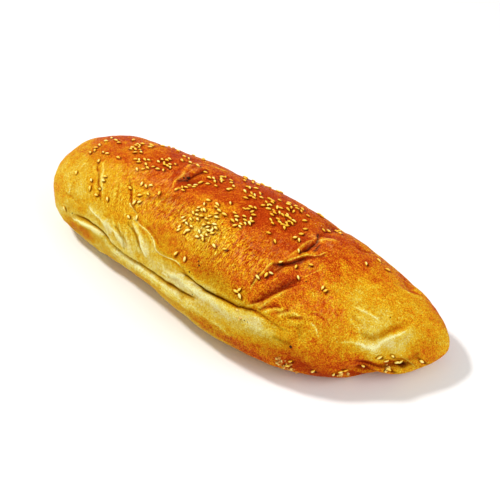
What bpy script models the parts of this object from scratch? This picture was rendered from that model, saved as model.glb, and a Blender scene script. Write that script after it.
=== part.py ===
"""A soft sesame baguette: one baked loaf, with its seeds fused to the crust.

The loaf lies along X with its blunt end at -X and its tapered tip at +X.
It rests on its flat underside at z = 0, and -Y is the side with the split seam.
"""
import math
import random

import bmesh
import bpy
import numpy as np
from mathutils import Matrix, Vector
from mathutils.bvhtree import BVHTree

for leftover in list(bpy.data.objects):
    bpy.data.objects.remove(leftover, do_unlink=True)

# Driving dimensions of the loaf, in metres.
LENGTH = 0.280            # end to end
CROWN_HEIGHT = 0.0681     # top of the crust above the underside
BLUNT_DROP = 0.0060       # how much lower the top runs towards the blunt end
TIP_DROP = 0.0100         # and towards the tip
CROWN_AT = 0.05           # where the top is highest, -1 blunt end, +1 tip
NARROW_HALF = 0.0404      # half width near the blunt end
WIDE_HALF = 0.0540        # half width near the tip
SWELL_FROM = -0.80        # the loaf widens between these two places
SWELL_TO = 0.70
WIDEST_LEVEL = 0.42       # height of the widest line, as a part of the height
BLUNT_END_LEVEL = 0.0240  # height of the last point at the blunt end
TIP_LEVEL = 0.0130        # height of the last point at the tip
CROWN_FULLNESS = 2.15     # section exponent above the widest line
BELLY_FULLNESS = 3.0      # section exponent below it
BEND_AT = 0.25            # place of the sideways bend
BEND_OFFSET = -0.0002     # centre line there, measured in Y
BLUNT_SWEEP = 0.0100      # sideways sweep from the bend to the blunt end
TIP_SWEEP = 0.0240        # sideways sweep from the bend to the tip
UNDERSIDE_PRESS = 0.0006  # how far the underside is pressed flat
FLAT_WITHIN = 0.00002     # points of the underside nearer than this to z = 0 lie on it

# Rounding of the ends: (power, root) seen from above and from the side.
BLUNT_PLAN = (6.0, 2.6)
TIP_PLAN = (2.7, 1.55)
BLUNT_SIDE = (4.2, 2.4)
TIP_SIDE = (1.5, 2.05)
BELLY_SIDE = (8.0, 2.0)

# Mesh of the loaf.
SECTIONS = 240
POINTS_ROUND = 132
KEPT_SHARE = 0.118        # share of the triangles kept, most of them in the folds
NARROWEST_FOLD = 2.0      # narrower folds are widened to this many mm and made shallower

# Sesame seeds, in metres.
SEED_LENGTH = 0.0031
SEED_WIDTH = 0.0020
SEED_THICKNESS = 0.0011
SEED_SINK = 0.30          # part of the thickness below the crust
SEED_SIDES = 6
SEED_SHARE = 0.40         # share of each sprinkling that is solid here
SEED_CLEARANCE = 1.2      # least spacing, in seed lengths
RANDOM_SEED = 1471


def ease(low, high, value):
    t = np.clip((value - low) / (high - low), 0.0, 1.0)
    return t * t * (3.0 - 2.0 * t)


def end_rounding(along, blunt, tip):
    """1 along the middle of the loaf, falling to 0 at both ends."""
    size = np.abs(along)
    blunt_curve = np.clip(1.0 - size ** blunt[0], 0.0, None) ** (1.0 / blunt[1])
    tip_curve = np.clip(1.0 - size ** tip[0], 0.0, None) ** (1.0 / tip[1])
    return np.where(along < 0.0, blunt_curve, tip_curve)


def centre_line(along):
    to_blunt = np.clip((BEND_AT - along) / (1.0 + BEND_AT), 0.0, 1.0)
    to_tip = np.clip((along - BEND_AT) / (1.0 - BEND_AT), 0.0, 1.0)
    return BEND_OFFSET + BLUNT_SWEEP * to_blunt ** 1.3 + TIP_SWEEP * to_tip ** 2.2


def smooth_loaf(along, angle):
    """Loaf without folds. angle 0 is the top, minus angles are the -Y side."""
    swell = ease(SWELL_FROM, SWELL_TO, along)
    half_width = NARROW_HALF + (WIDE_HALF - NARROW_HALF) * swell
    half_width = half_width * end_rounding(along, BLUNT_PLAN, TIP_PLAN)
    to_blunt = np.clip((CROWN_AT - along) / (1.0 + CROWN_AT), 0.0, 1.0)
    to_tip = np.clip((along - CROWN_AT) / (1.0 - CROWN_AT), 0.0, 1.0)
    height = CROWN_HEIGHT - BLUNT_DROP * to_blunt ** 1.5 - TIP_DROP * to_tip ** 1.5
    end_level = BLUNT_END_LEVEL + (TIP_LEVEL - BLUNT_END_LEVEL) * (along + 1.0) / 2.0
    crown = end_level + (height - end_level) * end_rounding(along, BLUNT_SIDE, TIP_SIDE)
    belly = end_level * (1.0 - end_rounding(along, BELLY_SIDE, BELLY_SIDE))
    widest = belly + WIDEST_LEVEL * (crown - belly)
    sine, cosine = np.sin(angle), np.cos(angle)
    above = cosine >= 0.0
    side_power = np.where(above, 2.0 / CROWN_FULLNESS, 2.0 / BELLY_FULLNESS)
    y = centre_line(along) + half_width * np.sign(sine) * np.abs(sine) ** side_power
    z_above = widest + (crown - widest) * np.abs(cosine) ** (2.0 / CROWN_FULLNESS)
    z_below = widest - (widest - belly) * np.abs(cosine) ** (2.0 / BELLY_FULLNESS)
    z = np.where(above, z_above, z_below)
    return np.stack([LENGTH / 2.0 * along, y, z], axis=-1)


# Relief of the crust. Places are (x, g) in millimetres: x along the loaf from
# its middle, g round the girth from the ridge, minus on the -Y side.

def curve_through(points, steps=6):
    """More points on a smooth curve through the given ones."""
    pts = np.array(points, dtype=float)
    if len(pts) == 2:
        return pts
    ends = np.vstack([2 * pts[0] - pts[1], pts, 2 * pts[-1] - pts[-2]])
    out = []
    for a, b, c, d in zip(ends[:-3], ends[1:-2], ends[2:-1], ends[3:]):
        for t in np.arange(steps) / steps:
            out.append(0.5 * (2 * b + (c - a) * t + (2 * a - 5 * b + 4 * c - d) * t ** 2
                              + (3 * b - a - 3 * c + d) * t ** 3))
    out.append(pts[-1])
    return np.array(out)


def along_path(x, g, points):
    """Signed distance in mm to a path, plus on its left, and the place 0..1 on it."""
    path = curve_through(points)
    steps = np.diff(path, axis=0)
    lengths = np.hypot(steps[:, 0], steps[:, 1])
    starts = np.concatenate([[0.0], np.cumsum(lengths)])
    best = np.full(x.shape, 1e9)
    side = np.ones(x.shape)
    place = np.zeros(x.shape)
    for start, step, length, before in zip(path, steps, lengths, starts):
        dx, dg = x - start[0], g - start[1]
        t = np.clip((dx * step[0] + dg * step[1]) / length ** 2, 0.0, 1.0)
        gap = np.hypot(dx - t * step[0], dg - t * step[1])
        nearer = gap < best
        best = np.where(nearer, gap, best)
        side = np.where(nearer, np.sign(step[0] * dg - step[1] * dx), side)
        place = np.where(nearer, (before + t * length) / starts[-1], place)
    return best * side, place


def fade(place, share=0.22):
    return ease(0.0, share, place) * ease(0.0, share, 1.0 - place)


def crease(x, g, points, depth, width):
    gap, place = along_path(x, g, points)
    wide = max(width, NARROWEST_FOLD)
    return -depth * math.sqrt(width / wide) * np.exp(-(gap / wide) ** 2) * fade(place)


def ridge(x, g, points, height, width):
    return -crease(x, g, points, height, width)


def lip(x, g, points, height, run, edge=1.0):
    """The crust left of the path stands up at its edge and settles over the run."""
    gap, place = along_path(x, g, points)
    settle = np.exp(-np.clip(gap, 0.0, None) / run)
    slope = max(edge, NARROWEST_FOLD)
    return height * ease(-slope, slope, gap) * settle * fade(place)


def dome(x, g, centre, reach, height):
    """A swelling, or a hollow where the height is negative."""
    return height * np.exp(-((x - centre[0]) / reach[0]) ** 2 - ((g - centre[1]) / reach[1]) ** 2)


# Each line is (kind, place or path, sizes in mm).
RELIEF = (
    # the long split along the foot of the -Y side, and the roll below it
    (crease, ((-100, -54), (-72, -56), (-46, -63.5), (-18, -63.5), (4, -65), (28, -60)), 2.8, 2.2),
    (ridge, ((-50, -69), (-20, -70.5), (10, -71), (60, -66)), 1.0, 4.5),
    (ridge, ((-98, -58.5), (-77, -58.5), (-58, -61)), 1.0, 1.8),
    (dome, (-52, -84), (36.0, 14.0), -1.6),
    # the upper crust folded over the pale ledge
    (crease, ((4, -53.5), (22, -53), (42, -51.5), (58, -48.3), (78, -46.5)), 2.4, 1.8),
    (lip, ((-24, -49.5), (-6, -50), (22, -52), (42, -50.5), (62, -46.8)), 1.2, 7.0),
    (ridge, ((-20, -57), (10, -58), (50, -55.5), (82, -51)), 0.8, 3.0),
    # wavy folds of soft crust above the split
    (ridge, ((-45, -42), (-33, -51), (-23, -58)), 1.1, 1.8),
    (ridge, ((-60, -49), (-50, -54), (-44, -60)), 1.1, 1.8),
    (ridge, ((-32, -41), (-21, -48.5), (-8, -49.5)), 0.9, 1.6),
    (crease, ((-52, -46), (-41, -53), (-34, -60)), 0.9, 2.2),
    # creases in the blunt half
    (crease, ((-91, -19), (-84, -26), (-79, -32), (-73, -41)), 1.7, 1.5),
    (lip, ((-73, -41), (-79, -32), (-84, -26), (-91, -19)), 0.7, 8.0),
    (crease, ((-62, -21), (-54, -28), (-50, -33), (-40, -37)), 1.3, 1.5),
    # sunken blister on the ridge with a raised rim
    (dome, (-29, 0), (8.5, 8.0), -2.4),
    (ridge, ((-38, 9), (-35.5, -3), (-31, -13)), 0.8, 1.8),
    # puffed middle
    (dome, (3, -9), (12.0, 10.0), 1.5),
    (dome, (26, -20), (14.0, 16.0), 0.8),
    (crease, ((-16, -22), (-17, -31)), 0.7, 1.3),
    (crease, ((23, -29), (21, -38)), 0.7, 1.3),
    # the fold that crosses the loaf
    (lip, ((48, -40), (48.5, -30), (50, -19), (54, -13.5), (58, -8), (66, 6)), 1.2, 9.0),
    (crease, ((65.5, 3), (60, -7), (55.5, -14), (51.5, -20), (50.5, -34)), 2.6, 2.0),
    (crease, ((60, 16), (57, 7), (56, -4)), 2.2, 2.4),
    (crease, ((59, 12), (55.5, 24), (53, 40), (52, 54)), 2.6, 4.5),
    (crease, ((71, -15), (66, -24), (61, -33), (56, -40), (51, -48)), 3.0, 3.2),
    (ridge, ((70, -26), (64, -33), (58.5, -40), (52, -49)), 1.2, 2.0),
    (crease, ((60, -45), (66.5, -39), (80, -36)), 1.0, 1.3),
    (crease, ((70, -44), (76, -40), (88, -39)), 0.8, 1.2),
    # lobes and tucks of the tapered tip
    (dome, (84, -30), (16.0, 12.0), 1.0),
    (dome, (88, -52), (18.0, 9.0), 0.7),
    (crease, ((103, -30), (112, -23), (119, -14), (124, -4)), 1.5, 3.4),
    (ridge, ((100, -36), (112, -29), (120, -19), (127, -9)), 1.3, 3.0),
    (crease, ((108, -42), (117, -39), (125, -31), (131, -22)), 2.8, 2.6),
    (crease, ((100, 40), (106, 27), (110, 14)), 2.6, 4.5),
    (crease, ((104, -66), (110, -54), (117, -44)), 2.2, 3.6),
    (dome, (113, -54), (10.0, 11.0), -3.8),
    # the +Y side: a long split and folds like those in front
    (crease, ((-92, 55), (-50, 60), (-5, 62), (40, 61), (84, 54)), 2.4, 2.2),
    (ridge, ((-60, 66), (0, 69), (60, 66)), 1.2, 4.5),
    (lip, ((60, 50), (20, 54), (-20, 52), (-60, 48)), 1.0, 8.0),
    (crease, ((-70, 18), (-76, 28), (-82, 40)), 1.3, 1.8),
    (crease, ((6, 26), (2, 38), (-6, 47)), 1.0, 2.0),
    (dome, (24, 32), (16.0, 14.0), 1.0),
    (dome, (-40, 38), (16.0, 13.0), 0.9),
    (crease, ((72, 24), (78, 36), (76, 48)), 1.2, 2.2),
)


def crust_relief(x, g):
    """Height of the crust in metres above the smooth loaf."""
    height = 0.45 * np.sin(x / 13.0 + 0.6) * np.sin(g / 15.0 + 1.1)
    height = height + 0.30 * np.sin(x / 7.5 + g / 11.0) * np.sin(g / 9.0 - x / 21.0)
    for kind, where, *sizes in RELIEF:
        height = height + kind(x, g, where, *sizes)
    return height / 1000.0


def girth(points):
    """Distance round each section from its top, in mm, minus on the -Y side."""
    steps = np.linalg.norm(np.diff(points, axis=1), axis=-1)
    run = np.concatenate([np.zeros((len(points), 1)), np.cumsum(steps, axis=1)], axis=1)
    top = points.shape[1] // 2
    return (run - run[:, top:top + 1]) * 1000.0


def crust_grid(sections, round_count):
    """Points of the folded loaf, one row for each section from end to end."""
    turn = np.arange(1, sections) / sections * math.pi
    along = -np.cos(turn)
    angle = np.linspace(-math.pi, math.pi, round_count + 1)
    rows, columns = np.meshgrid(along, angle, indexing="ij")
    points = smooth_loaf(rows, columns)
    g = girth(points)
    lengthwise = np.gradient(points, axis=0)
    roundwise = np.gradient(points, axis=1)
    roundwise[:, 0] = points[:, 1] - points[:, -2]
    roundwise[:, -1] = roundwise[:, 0]
    outward = np.cross(lengthwise, roundwise)
    outward = outward / np.linalg.norm(outward, axis=-1, keepdims=True)
    relief = crust_relief(points[..., 0] * 1000.0, g)
    relief = relief * ease(0.0, 0.05, 1.0 - np.abs(rows))
    points = points + outward * relief[..., None]
    points[..., 2] = np.maximum(points[..., 2] - UNDERSIDE_PRESS, 0.0)
    return points[:, :-1]


def end_point(along):
    return smooth_loaf(np.array(along), np.array(0.0))


def build_loaf(material):
    points = crust_grid(SECTIONS, POINTS_ROUND)
    mesh = bmesh.new()
    rows = []
    for row in points:
        rows.append([mesh.verts.new(point) for point in row])
    blunt = mesh.verts.new(end_point(-1.0))
    tip = mesh.verts.new(end_point(1.0))
    for k in range(POINTS_ROUND):
        n = (k + 1) % POINTS_ROUND
        for row, after in zip(rows[:-1], rows[1:]):
            mesh.faces.new((row[k], row[n], after[n], after[k]))
        mesh.faces.new((blunt, rows[0][n], rows[0][k]))
        mesh.faces.new((tip, rows[-1][k], rows[-1][n]))
    bmesh.ops.triangulate(mesh, faces=mesh.faces[:], quad_method="SHORT_EDGE")
    bmesh.ops.recalc_face_normals(mesh, faces=mesh.faces[:])
    data = bpy.data.meshes.new("baguette")
    mesh.to_mesh(data)
    mesh.free()
    data.shade_smooth()
    data.materials.append(material)
    loaf = bpy.data.objects.new("baguette", data)
    bpy.context.scene.collection.objects.link(loaf)
    thin = loaf.modifiers.new("fewer_triangles", "DECIMATE")
    thin.ratio = KEPT_SHARE
    return loaf


# Sprinklings of seeds: centre (x, g), reach (x, g), all in mm, and the count.
SPRINKLINGS = (
    ((-81, 8), (5, 6), 12),
    ((-71, 0), (5, 5), 8),
    ((-61, -4), (7, 5), 10),
    ((-60, -10), (6, 2), 5),
    ((-50, 2), (5, 6), 12),
    ((-45, 18), (6, 5), 8),
    ((-46, -22), (4, 7), 9),
    ((-46, -41), (2, 2), 3),
    ((-14, 14), (7, 5), 10),
    ((-24, -5), (4, 5), 10),
    ((-13, 4), (8, 2), 8),
    ((8, 16), (5, 6), 12),
    ((-4, -21), (4, 10), 20),
    ((7, -24), (5, 11), 26),
    ((17, -11), (6, 4), 9),
    ((7, -2), (3, 2), 3),
    ((22, -7), (4, 5), 10),
    ((23, -27), (1.5, 3), 4),
    ((25, 16), (8, 8), 20),
    ((33, 8), (8, 6), 16),
    ((35, 22), (9, 8), 10),
    ((122, -31), (5, 4), 8),
    ((103, -56), (4, 3), 6),
    ((79, -66), (3, 3), 6),
    ((-95, -8), (12, 12), 7),
    ((-80, -30), (12, 8), 6),
    ((62, -2), (22, 18), 8),
    ((87, 20), (8, 9), 6),
    ((-60, 30), (18, 14), 16),
    ((0, 36), (20, 14), 18),
    ((44, 36), (16, 12), 10),
    ((30, 60), (50, 10), 8),
)


def sprinkle_places(share):
    """Places (x, g), turn and size of the seeds, the same on every run."""
    draw = random.Random(RANDOM_SEED)
    places = []
    for centre, reach, count in SPRINKLINGS:
        for number in range(count):
            away = math.sqrt(draw.random())
            way = draw.uniform(0.0, 2.0 * math.pi)
            x = centre[0] + reach[0] * away * math.cos(way)
            g = centre[1] + reach[1] * away * math.sin(way)
            turn = draw.uniform(-0.9, 0.9)
            size = draw.uniform(0.85, 1.12)
            if number < math.ceil(count * share):
                places.append((x, g, turn, size))
    return places


def thin_out(places, spacing):
    """Drop a seed that would touch one placed before it."""
    kept = []
    for place in places:
        if all(math.hypot(place[0] - k[0], place[1] - k[1]) > spacing for k in kept):
            kept.append(place)
    return kept


def surface_at(x, g):
    """A point on the smooth loaf at a place given along it and round its girth."""
    along = 2.0 * x / 1000.0 / LENGTH
    angles = np.linspace(-math.pi, math.pi, 721)
    section = smooth_loaf(np.full((1, 721), along), angles[None, :])
    distance = girth(section)[0]
    angle = float(np.interp(g, distance, angles))
    return smooth_loaf(np.array(along), np.array(angle))


def seed_mesh():
    """A teardrop of a few sides, lying along X with its pointed end at +X."""
    mesh = bmesh.new()
    rings = []
    for place, fullness in ((-0.22, 1.0), (0.20, 0.85)):
        ring = []
        for k in range(SEED_SIDES):
            turn = 2.0 * math.pi * k / SEED_SIDES
            y = SEED_WIDTH / 2.0 * fullness * math.cos(turn)
            z = SEED_THICKNESS / 2.0 * fullness * math.sin(turn)
            ring.append(mesh.verts.new((place * SEED_LENGTH, y, z)))
        rings.append(ring)
    back = mesh.verts.new((-0.5 * SEED_LENGTH, 0.0, 0.0))
    front = mesh.verts.new((0.5 * SEED_LENGTH, 0.0, 0.0))
    for k in range(SEED_SIDES):
        n = (k + 1) % SEED_SIDES
        for ring, after in zip(rings[:-1], rings[1:]):
            mesh.faces.new((ring[k], ring[n], after[n]))
            mesh.faces.new((ring[k], after[n], after[k]))
        mesh.faces.new((back, rings[0][n], rings[0][k]))
        mesh.faces.new((front, rings[-1][k], rings[-1][n]))
    bmesh.ops.recalc_face_normals(mesh, faces=mesh.faces[:])
    data = bpy.data.meshes.new("sesame_seed")
    mesh.to_mesh(data)
    mesh.free()
    return data


def place_seeds(loaf, group):
    """Lay the seeds flat on the crust, each a little sunk into it."""
    bpy.context.view_layer.update()
    tree = BVHTree.FromObject(loaf, bpy.context.evaluated_depsgraph_get())
    shape = seed_mesh()
    places = thin_out(sprinkle_places(SEED_SHARE), SEED_LENGTH * 1000.0 * SEED_CLEARANCE)
    for x, g, turn, size in places:
        spot, normal, _, _ = tree.find_nearest(Vector(surface_at(x, g)))
        lengthwise = Vector((1.0, 0.0, 0.0)) - normal * normal.x
        lengthwise.normalize()
        across = normal.cross(lengthwise)
        ahead = lengthwise * math.cos(turn) + across * math.sin(turn)
        sideways = normal.cross(ahead)
        lift = SEED_THICKNESS * size * (0.5 - SEED_SINK)
        frame = Matrix((ahead, sideways, normal)).transposed().to_4x4()
        seed = bpy.data.objects.new("seed", shape)
        seed.matrix_world = Matrix.Translation(spot + normal * lift) @ frame @ Matrix.Scale(size, 4)
        group.objects.link(seed)


def fuse_seeds(loaf, group):
    """One union of the loaf with all the seeds."""
    union = loaf.modifiers.new("seeds", "BOOLEAN")
    union.operation = "UNION"
    union.solver = "EXACT"
    union.operand_type = "COLLECTION"
    union.collection = group
    bpy.context.view_layer.update()
    fused = bpy.data.meshes.new_from_object(
        loaf.evaluated_get(bpy.context.evaluated_depsgraph_get()))
    loaf.modifiers.clear()
    plain = loaf.data
    loaf.data = fused
    fused.name = "baguette"
    bpy.data.meshes.remove(plain)
    for seed in list(group.objects):
        bpy.data.objects.remove(seed, do_unlink=True)
    bpy.data.collections.remove(group)


def finish_body(loaf):
    """Level the underside, drop loose scraps and fill sealed hollows."""
    mesh = bmesh.new()
    mesh.from_mesh(loaf.data)
    for vert in mesh.verts:
        if vert.co.z < FLAT_WITHIN:
            vert.co.z = 0.0
    bmesh.ops.triangulate(mesh, faces=mesh.faces[:], quad_method="SHORT_EDGE")
    unseen = set(mesh.verts)
    bodies = []
    while unseen:
        stack = [unseen.pop()]
        body = []
        while stack:
            vert = stack.pop()
            body.append(vert)
            for edge in vert.link_edges:
                other = edge.other_vert(vert)
                if other in unseen:
                    unseen.remove(other)
                    stack.append(other)
        bodies.append(body)
    bodies.sort(key=len)
    for body in bodies[:-1]:
        bmesh.ops.delete(mesh, geom=body, context="VERTS")
    mesh.to_mesh(loaf.data)
    mesh.free()
    loaf.data.shade_smooth()
    loaf.data.set_sharp_from_angle(angle=math.radians(35.0))


crust = bpy.data.materials.new("crust")
crust.use_nodes = True
crust_shader = crust.node_tree.nodes["Principled BSDF"]
crust_shader.inputs["Base Color"].default_value = (0.52, 0.23, 0.035, 1.0)
crust_shader.inputs["Roughness"].default_value = 0.5
crust_shader.inputs["Metallic"].default_value = 0.0

baguette = build_loaf(crust)
seed_group = bpy.data.collections.new("seeds")
bpy.context.scene.collection.children.link(seed_group)
place_seeds(baguette, seed_group)
fuse_seeds(baguette, seed_group)
finish_body(baguette)
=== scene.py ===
# %% [markdown]
# # A soft sesame baguette
#
# The loaf lies on a pale floor, seen from above at one end, as on a baker's
# picture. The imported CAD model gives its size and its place. This lesson makes
# the crust again as a fine mesh with the same folds, paints the baking on it
# with vertex attributes, and sprinkles the seeds with Geometry Nodes.

# %% Load the frame
import math
import random

import bpy
import bmesh
import numpy as np
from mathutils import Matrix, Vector, noise


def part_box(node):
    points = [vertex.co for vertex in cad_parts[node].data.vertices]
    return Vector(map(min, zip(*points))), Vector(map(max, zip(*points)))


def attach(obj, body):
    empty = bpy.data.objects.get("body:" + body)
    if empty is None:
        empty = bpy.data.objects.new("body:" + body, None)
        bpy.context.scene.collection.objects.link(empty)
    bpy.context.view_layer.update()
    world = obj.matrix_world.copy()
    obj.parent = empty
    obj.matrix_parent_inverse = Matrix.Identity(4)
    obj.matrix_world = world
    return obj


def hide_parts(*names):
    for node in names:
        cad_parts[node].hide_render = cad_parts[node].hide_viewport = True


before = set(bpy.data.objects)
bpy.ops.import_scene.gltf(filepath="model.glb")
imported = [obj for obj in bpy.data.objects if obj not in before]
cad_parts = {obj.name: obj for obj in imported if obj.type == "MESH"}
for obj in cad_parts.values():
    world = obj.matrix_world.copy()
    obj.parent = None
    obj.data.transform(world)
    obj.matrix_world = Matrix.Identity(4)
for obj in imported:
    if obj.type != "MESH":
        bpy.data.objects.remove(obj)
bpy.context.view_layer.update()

# %% [markdown]
# ## The camera
#
# A long lens from a little over half a metre keeps the far end of the loaf
# nearly as large as the near one. The camera is aimed by building its
# direction from two angles, the turn round the loaf and the height above the
# floor, so that both can be read and changed.

# %% Place the camera
CAMERA_TURN = math.radians(38.0)
CAMERA_RISE = math.radians(40.0)
CAMERA_DISTANCE = 0.5833
AIM = Vector((0.0112, 0.0099, 0.0284))


def direction(turn, rise):
    """Unit vector towards a place at that turn from -Y and height over the floor."""
    flat = math.cos(rise)
    return Vector((math.sin(turn) * flat, -math.cos(turn) * flat, math.sin(rise)))


camera_data = bpy.data.cameras.new("camera")
camera_data.lens = 70.0
camera_data.sensor_width = 36.0
camera_data.clip_start = 0.01
camera = bpy.data.objects.new("camera", camera_data)
bpy.context.scene.collection.objects.link(camera)
back = direction(CAMERA_TURN, CAMERA_RISE)
camera.location = AIM + back * CAMERA_DISTANCE
camera.rotation_euler = back.to_track_quat("Z", "Y").to_euler()
bpy.context.scene.camera = camera
print("camera at", [round(v, 3) for v in camera.location])

# %% [markdown]
# ## The sizes of the loaf
#
# A loaf is a tube whose width, height and centre line change from end to end.
# A few named sizes and smooth steps between them describe it better than a
# list of points, because each number means something to a baker. Sizes are in
# metres, and places along the loaf run from -1 at the blunt end to 1 at the
# tapered tip. The length is read from the frame, and the other sizes are those
# of the solid model.

# %% Name the sizes
low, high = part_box("baguette")
LENGTH = round(high[0] - low[0], 4)
# the crown: its height, where it is highest, and how far it falls to each end
CROWN_HEIGHT = 0.0681
CROWN_AT = 0.05
BLUNT_DROP = 0.0060
TIP_DROP = 0.0100
DROP_CURVE = 1.5
# half the width in the blunt half and at the widest, and where it swells
NARROW_HALF = 0.0404
WIDE_HALF = 0.0540
SWELL_FROM, SWELL_TO = -0.80, 0.70
# how high up a section is widest, and the level at which each end closes
WIDEST_LEVEL = 0.42
BLUNT_END_LEVEL = 0.0240
TIP_LEVEL = 0.0130
# how full a section is above and below its widest place
CROWN_FULLNESS = 2.15
BELLY_FULLNESS = 3.0
# the centre line: both ends bend to the far side
BEND_AT = 0.25
BEND_OFFSET = -0.0002
BLUNT_SWEEP, BLUNT_SWEEP_CURVE = 0.0100, 1.3
TIP_SWEEP, TIP_SWEEP_CURVE = 0.0240, 2.2
# how the ends round off, from above, from the side and underneath
BLUNT_PLAN, TIP_PLAN = (6.0, 2.6), (2.7, 1.55)
BLUNT_SIDE, TIP_SIDE = (4.2, 2.4), (1.5, 2.05)
BELLY_SIDE = (8.0, 2.0)
# how deep the tray has pressed the underside flat
UNDERSIDE_PRESS = 0.0006
print("loaf length", LENGTH)

# %% [markdown]
# ## The smooth loaf
#
# Every section is a rounded shape, fuller at the belly than at the crown. The
# exponent of a superellipse sets how full it is: 2 gives an ellipse, 3 a shape
# nearly as square as dough that has spread on its tray. numpy works out all
# points of the surface at once.

# %% Shape the smooth loaf
def ease(start, stop, value):
    """A smooth step: 0 before the start, 1 past the stop. The start may be the larger."""
    t = np.clip((value - start) / (stop - start), 0.0, 1.0)
    return t * t * (3.0 - 2.0 * t)


def end_rounding(along, blunt, tip):
    """How much of a size is left at each place: 1 in the middle, 0 at both ends."""
    size = np.abs(along)
    blunt_curve = np.clip(1.0 - size ** blunt[0], 0.0, None) ** (1.0 / blunt[1])
    tip_curve = np.clip(1.0 - size ** tip[0], 0.0, None) ** (1.0 / tip[1])
    return np.where(along < 0.0, blunt_curve, tip_curve)


def shares_to_ends(along, middle):
    """How far each place is on the way from the middle to the blunt end, and to the tip."""
    to_blunt = np.clip((middle - along) / (1.0 + middle), 0.0, 1.0)
    to_tip = np.clip((along - middle) / (1.0 - middle), 0.0, 1.0)
    return to_blunt, to_tip


def centre_line(along):
    to_blunt, to_tip = shares_to_ends(along, BEND_AT)
    sweep = BEND_OFFSET + BLUNT_SWEEP * to_blunt ** BLUNT_SWEEP_CURVE
    return sweep + TIP_SWEEP * to_tip ** TIP_SWEEP_CURVE


def smooth_loaf(along, angle):
    """Loaf without folds. angle 0 is the top, minus angles are the -Y side."""
    swell = ease(SWELL_FROM, SWELL_TO, along)
    half_width = NARROW_HALF + (WIDE_HALF - NARROW_HALF) * swell
    half_width = half_width * end_rounding(along, BLUNT_PLAN, TIP_PLAN)
    to_blunt, to_tip = shares_to_ends(along, CROWN_AT)
    height = CROWN_HEIGHT - BLUNT_DROP * to_blunt ** DROP_CURVE - TIP_DROP * to_tip ** DROP_CURVE
    end_level = BLUNT_END_LEVEL + (TIP_LEVEL - BLUNT_END_LEVEL) * (along + 1.0) / 2.0
    crown = end_level + (height - end_level) * end_rounding(along, BLUNT_SIDE, TIP_SIDE)
    belly = end_level * (1.0 - end_rounding(along, BELLY_SIDE, BELLY_SIDE))
    widest = belly + WIDEST_LEVEL * (crown - belly)
    sine, cosine = np.sin(angle), np.cos(angle)
    above = cosine >= 0.0
    side_power = np.where(above, 2.0 / CROWN_FULLNESS, 2.0 / BELLY_FULLNESS)
    y = centre_line(along) + half_width * np.sign(sine) * np.abs(sine) ** side_power
    z_above = widest + (crown - widest) * np.abs(cosine) ** (2.0 / CROWN_FULLNESS)
    z_below = widest - (widest - belly) * np.abs(cosine) ** (2.0 / BELLY_FULLNESS)
    z = np.where(above, z_above, z_below)
    return np.stack([LENGTH / 2.0 * along, y, z], axis=-1)


print("widest section in mm:", round(2000 * WIDE_HALF, 1))

# %% [markdown]
# ## Paths on the crust
#
# Places on the crust are given as (x, g) in millimetres: x along the loaf from
# its middle, and g round its girth from the ridge, minus on the front side. A
# fold is a path through a few such places, and a smooth curve joins them. All
# that a mark needs to know of a point of the crust is how far off the path it
# lies, on which side, and how far along.

# %% Measure from a path
CURVE_STEPS = 6
SOFT_ENDS = 0.3
SHORT_ENDS = 0.12


def curve_through(points):
    """A smooth curve through the points, as short straight steps."""
    pts = np.array(points, dtype=float)
    if len(pts) == 2:
        return pts
    ends = np.vstack([2 * pts[0] - pts[1], pts, 2 * pts[-1] - pts[-2]])
    out = []
    for a, b, c, d in zip(ends[:-3], ends[1:-2], ends[2:-1], ends[3:]):
        for t in np.arange(CURVE_STEPS) / CURVE_STEPS:
            out.append(0.5 * (2 * b + (c - a) * t + (2 * a - 5 * b + 4 * c - d) * t ** 2
                              + (3 * b - a - 3 * c + d) * t ** 3))
    out.append(pts[-1])
    return np.array(out)


def along_path(x, g, points, reach):
    """Signed distance to a path, place 0..1 on it, and which points are near it."""
    path = curve_through(points)
    low_x, low_g = path.min(axis=0) - reach
    high_x, high_g = path.max(axis=0) + reach
    near = (x > low_x) & (x < high_x) & (g > low_g) & (g < high_g)
    x, g = x[near], g[near]
    steps = np.diff(path, axis=0)
    lengths = np.hypot(steps[:, 0], steps[:, 1])
    starts = np.concatenate([[0.0], np.cumsum(lengths)])
    best, side, place = np.full(x.shape, 1e9), np.ones(x.shape), np.zeros(x.shape)
    for start, step, length, before in zip(path, steps, lengths, starts):
        dx, dg = x - start[0], g - start[1]
        t = np.clip((dx * step[0] + dg * step[1]) / length ** 2, 0.0, 1.0)
        gap = np.hypot(dx - t * step[0], dg - t * step[1])
        nearer = gap < best
        best = np.where(nearer, gap, best)
        side = np.where(nearer, np.sign(step[0] * dg - step[1] * dx), side)
        place = np.where(nearer, (before + t * length) / starts[-1], place)
    return best * side, place, near


def fade(place, share=SOFT_ENDS):
    """1 in the middle of a path, sinking to 0 over that share of it at each end."""
    return ease(0.0, share, place) * ease(0.0, share, 1.0 - place)


print("points of a curve through three:", len(curve_through(((0, 0), (5, 3), (10, 0)))))

# %% [markdown]
# ## Folds, splits and puffs
#
# Five kinds of mark are enough. A ridge rises along a path and a crease sinks
# along it, both as a soft bell. A seam sinks with a sharp bottom, where two
# rolls of dough meet. A lip rises on one side only, as crust that has slid
# over its neighbour, and a dome swells or sinks round one place. Sculpting
# could make them too, but written marks can be moved and measured, and the
# solid model uses the same ones.

# %% Write the kinds of mark
def bell(offset, width):
    return np.exp(-(offset / width) ** 2)


def ridge(x, g, points, height, width, ends=SOFT_ENDS):
    """A rounded rise along a path. The painted lines use it too."""
    gap, place, near = along_path(x, g, points, 3.0 * width)
    rise = np.zeros(x.shape)
    rise[near] = height * bell(gap, width) * fade(place, ends)
    return rise


def crease(x, g, points, depth, width):
    return ridge(x, g, points, -depth, width)


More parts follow.
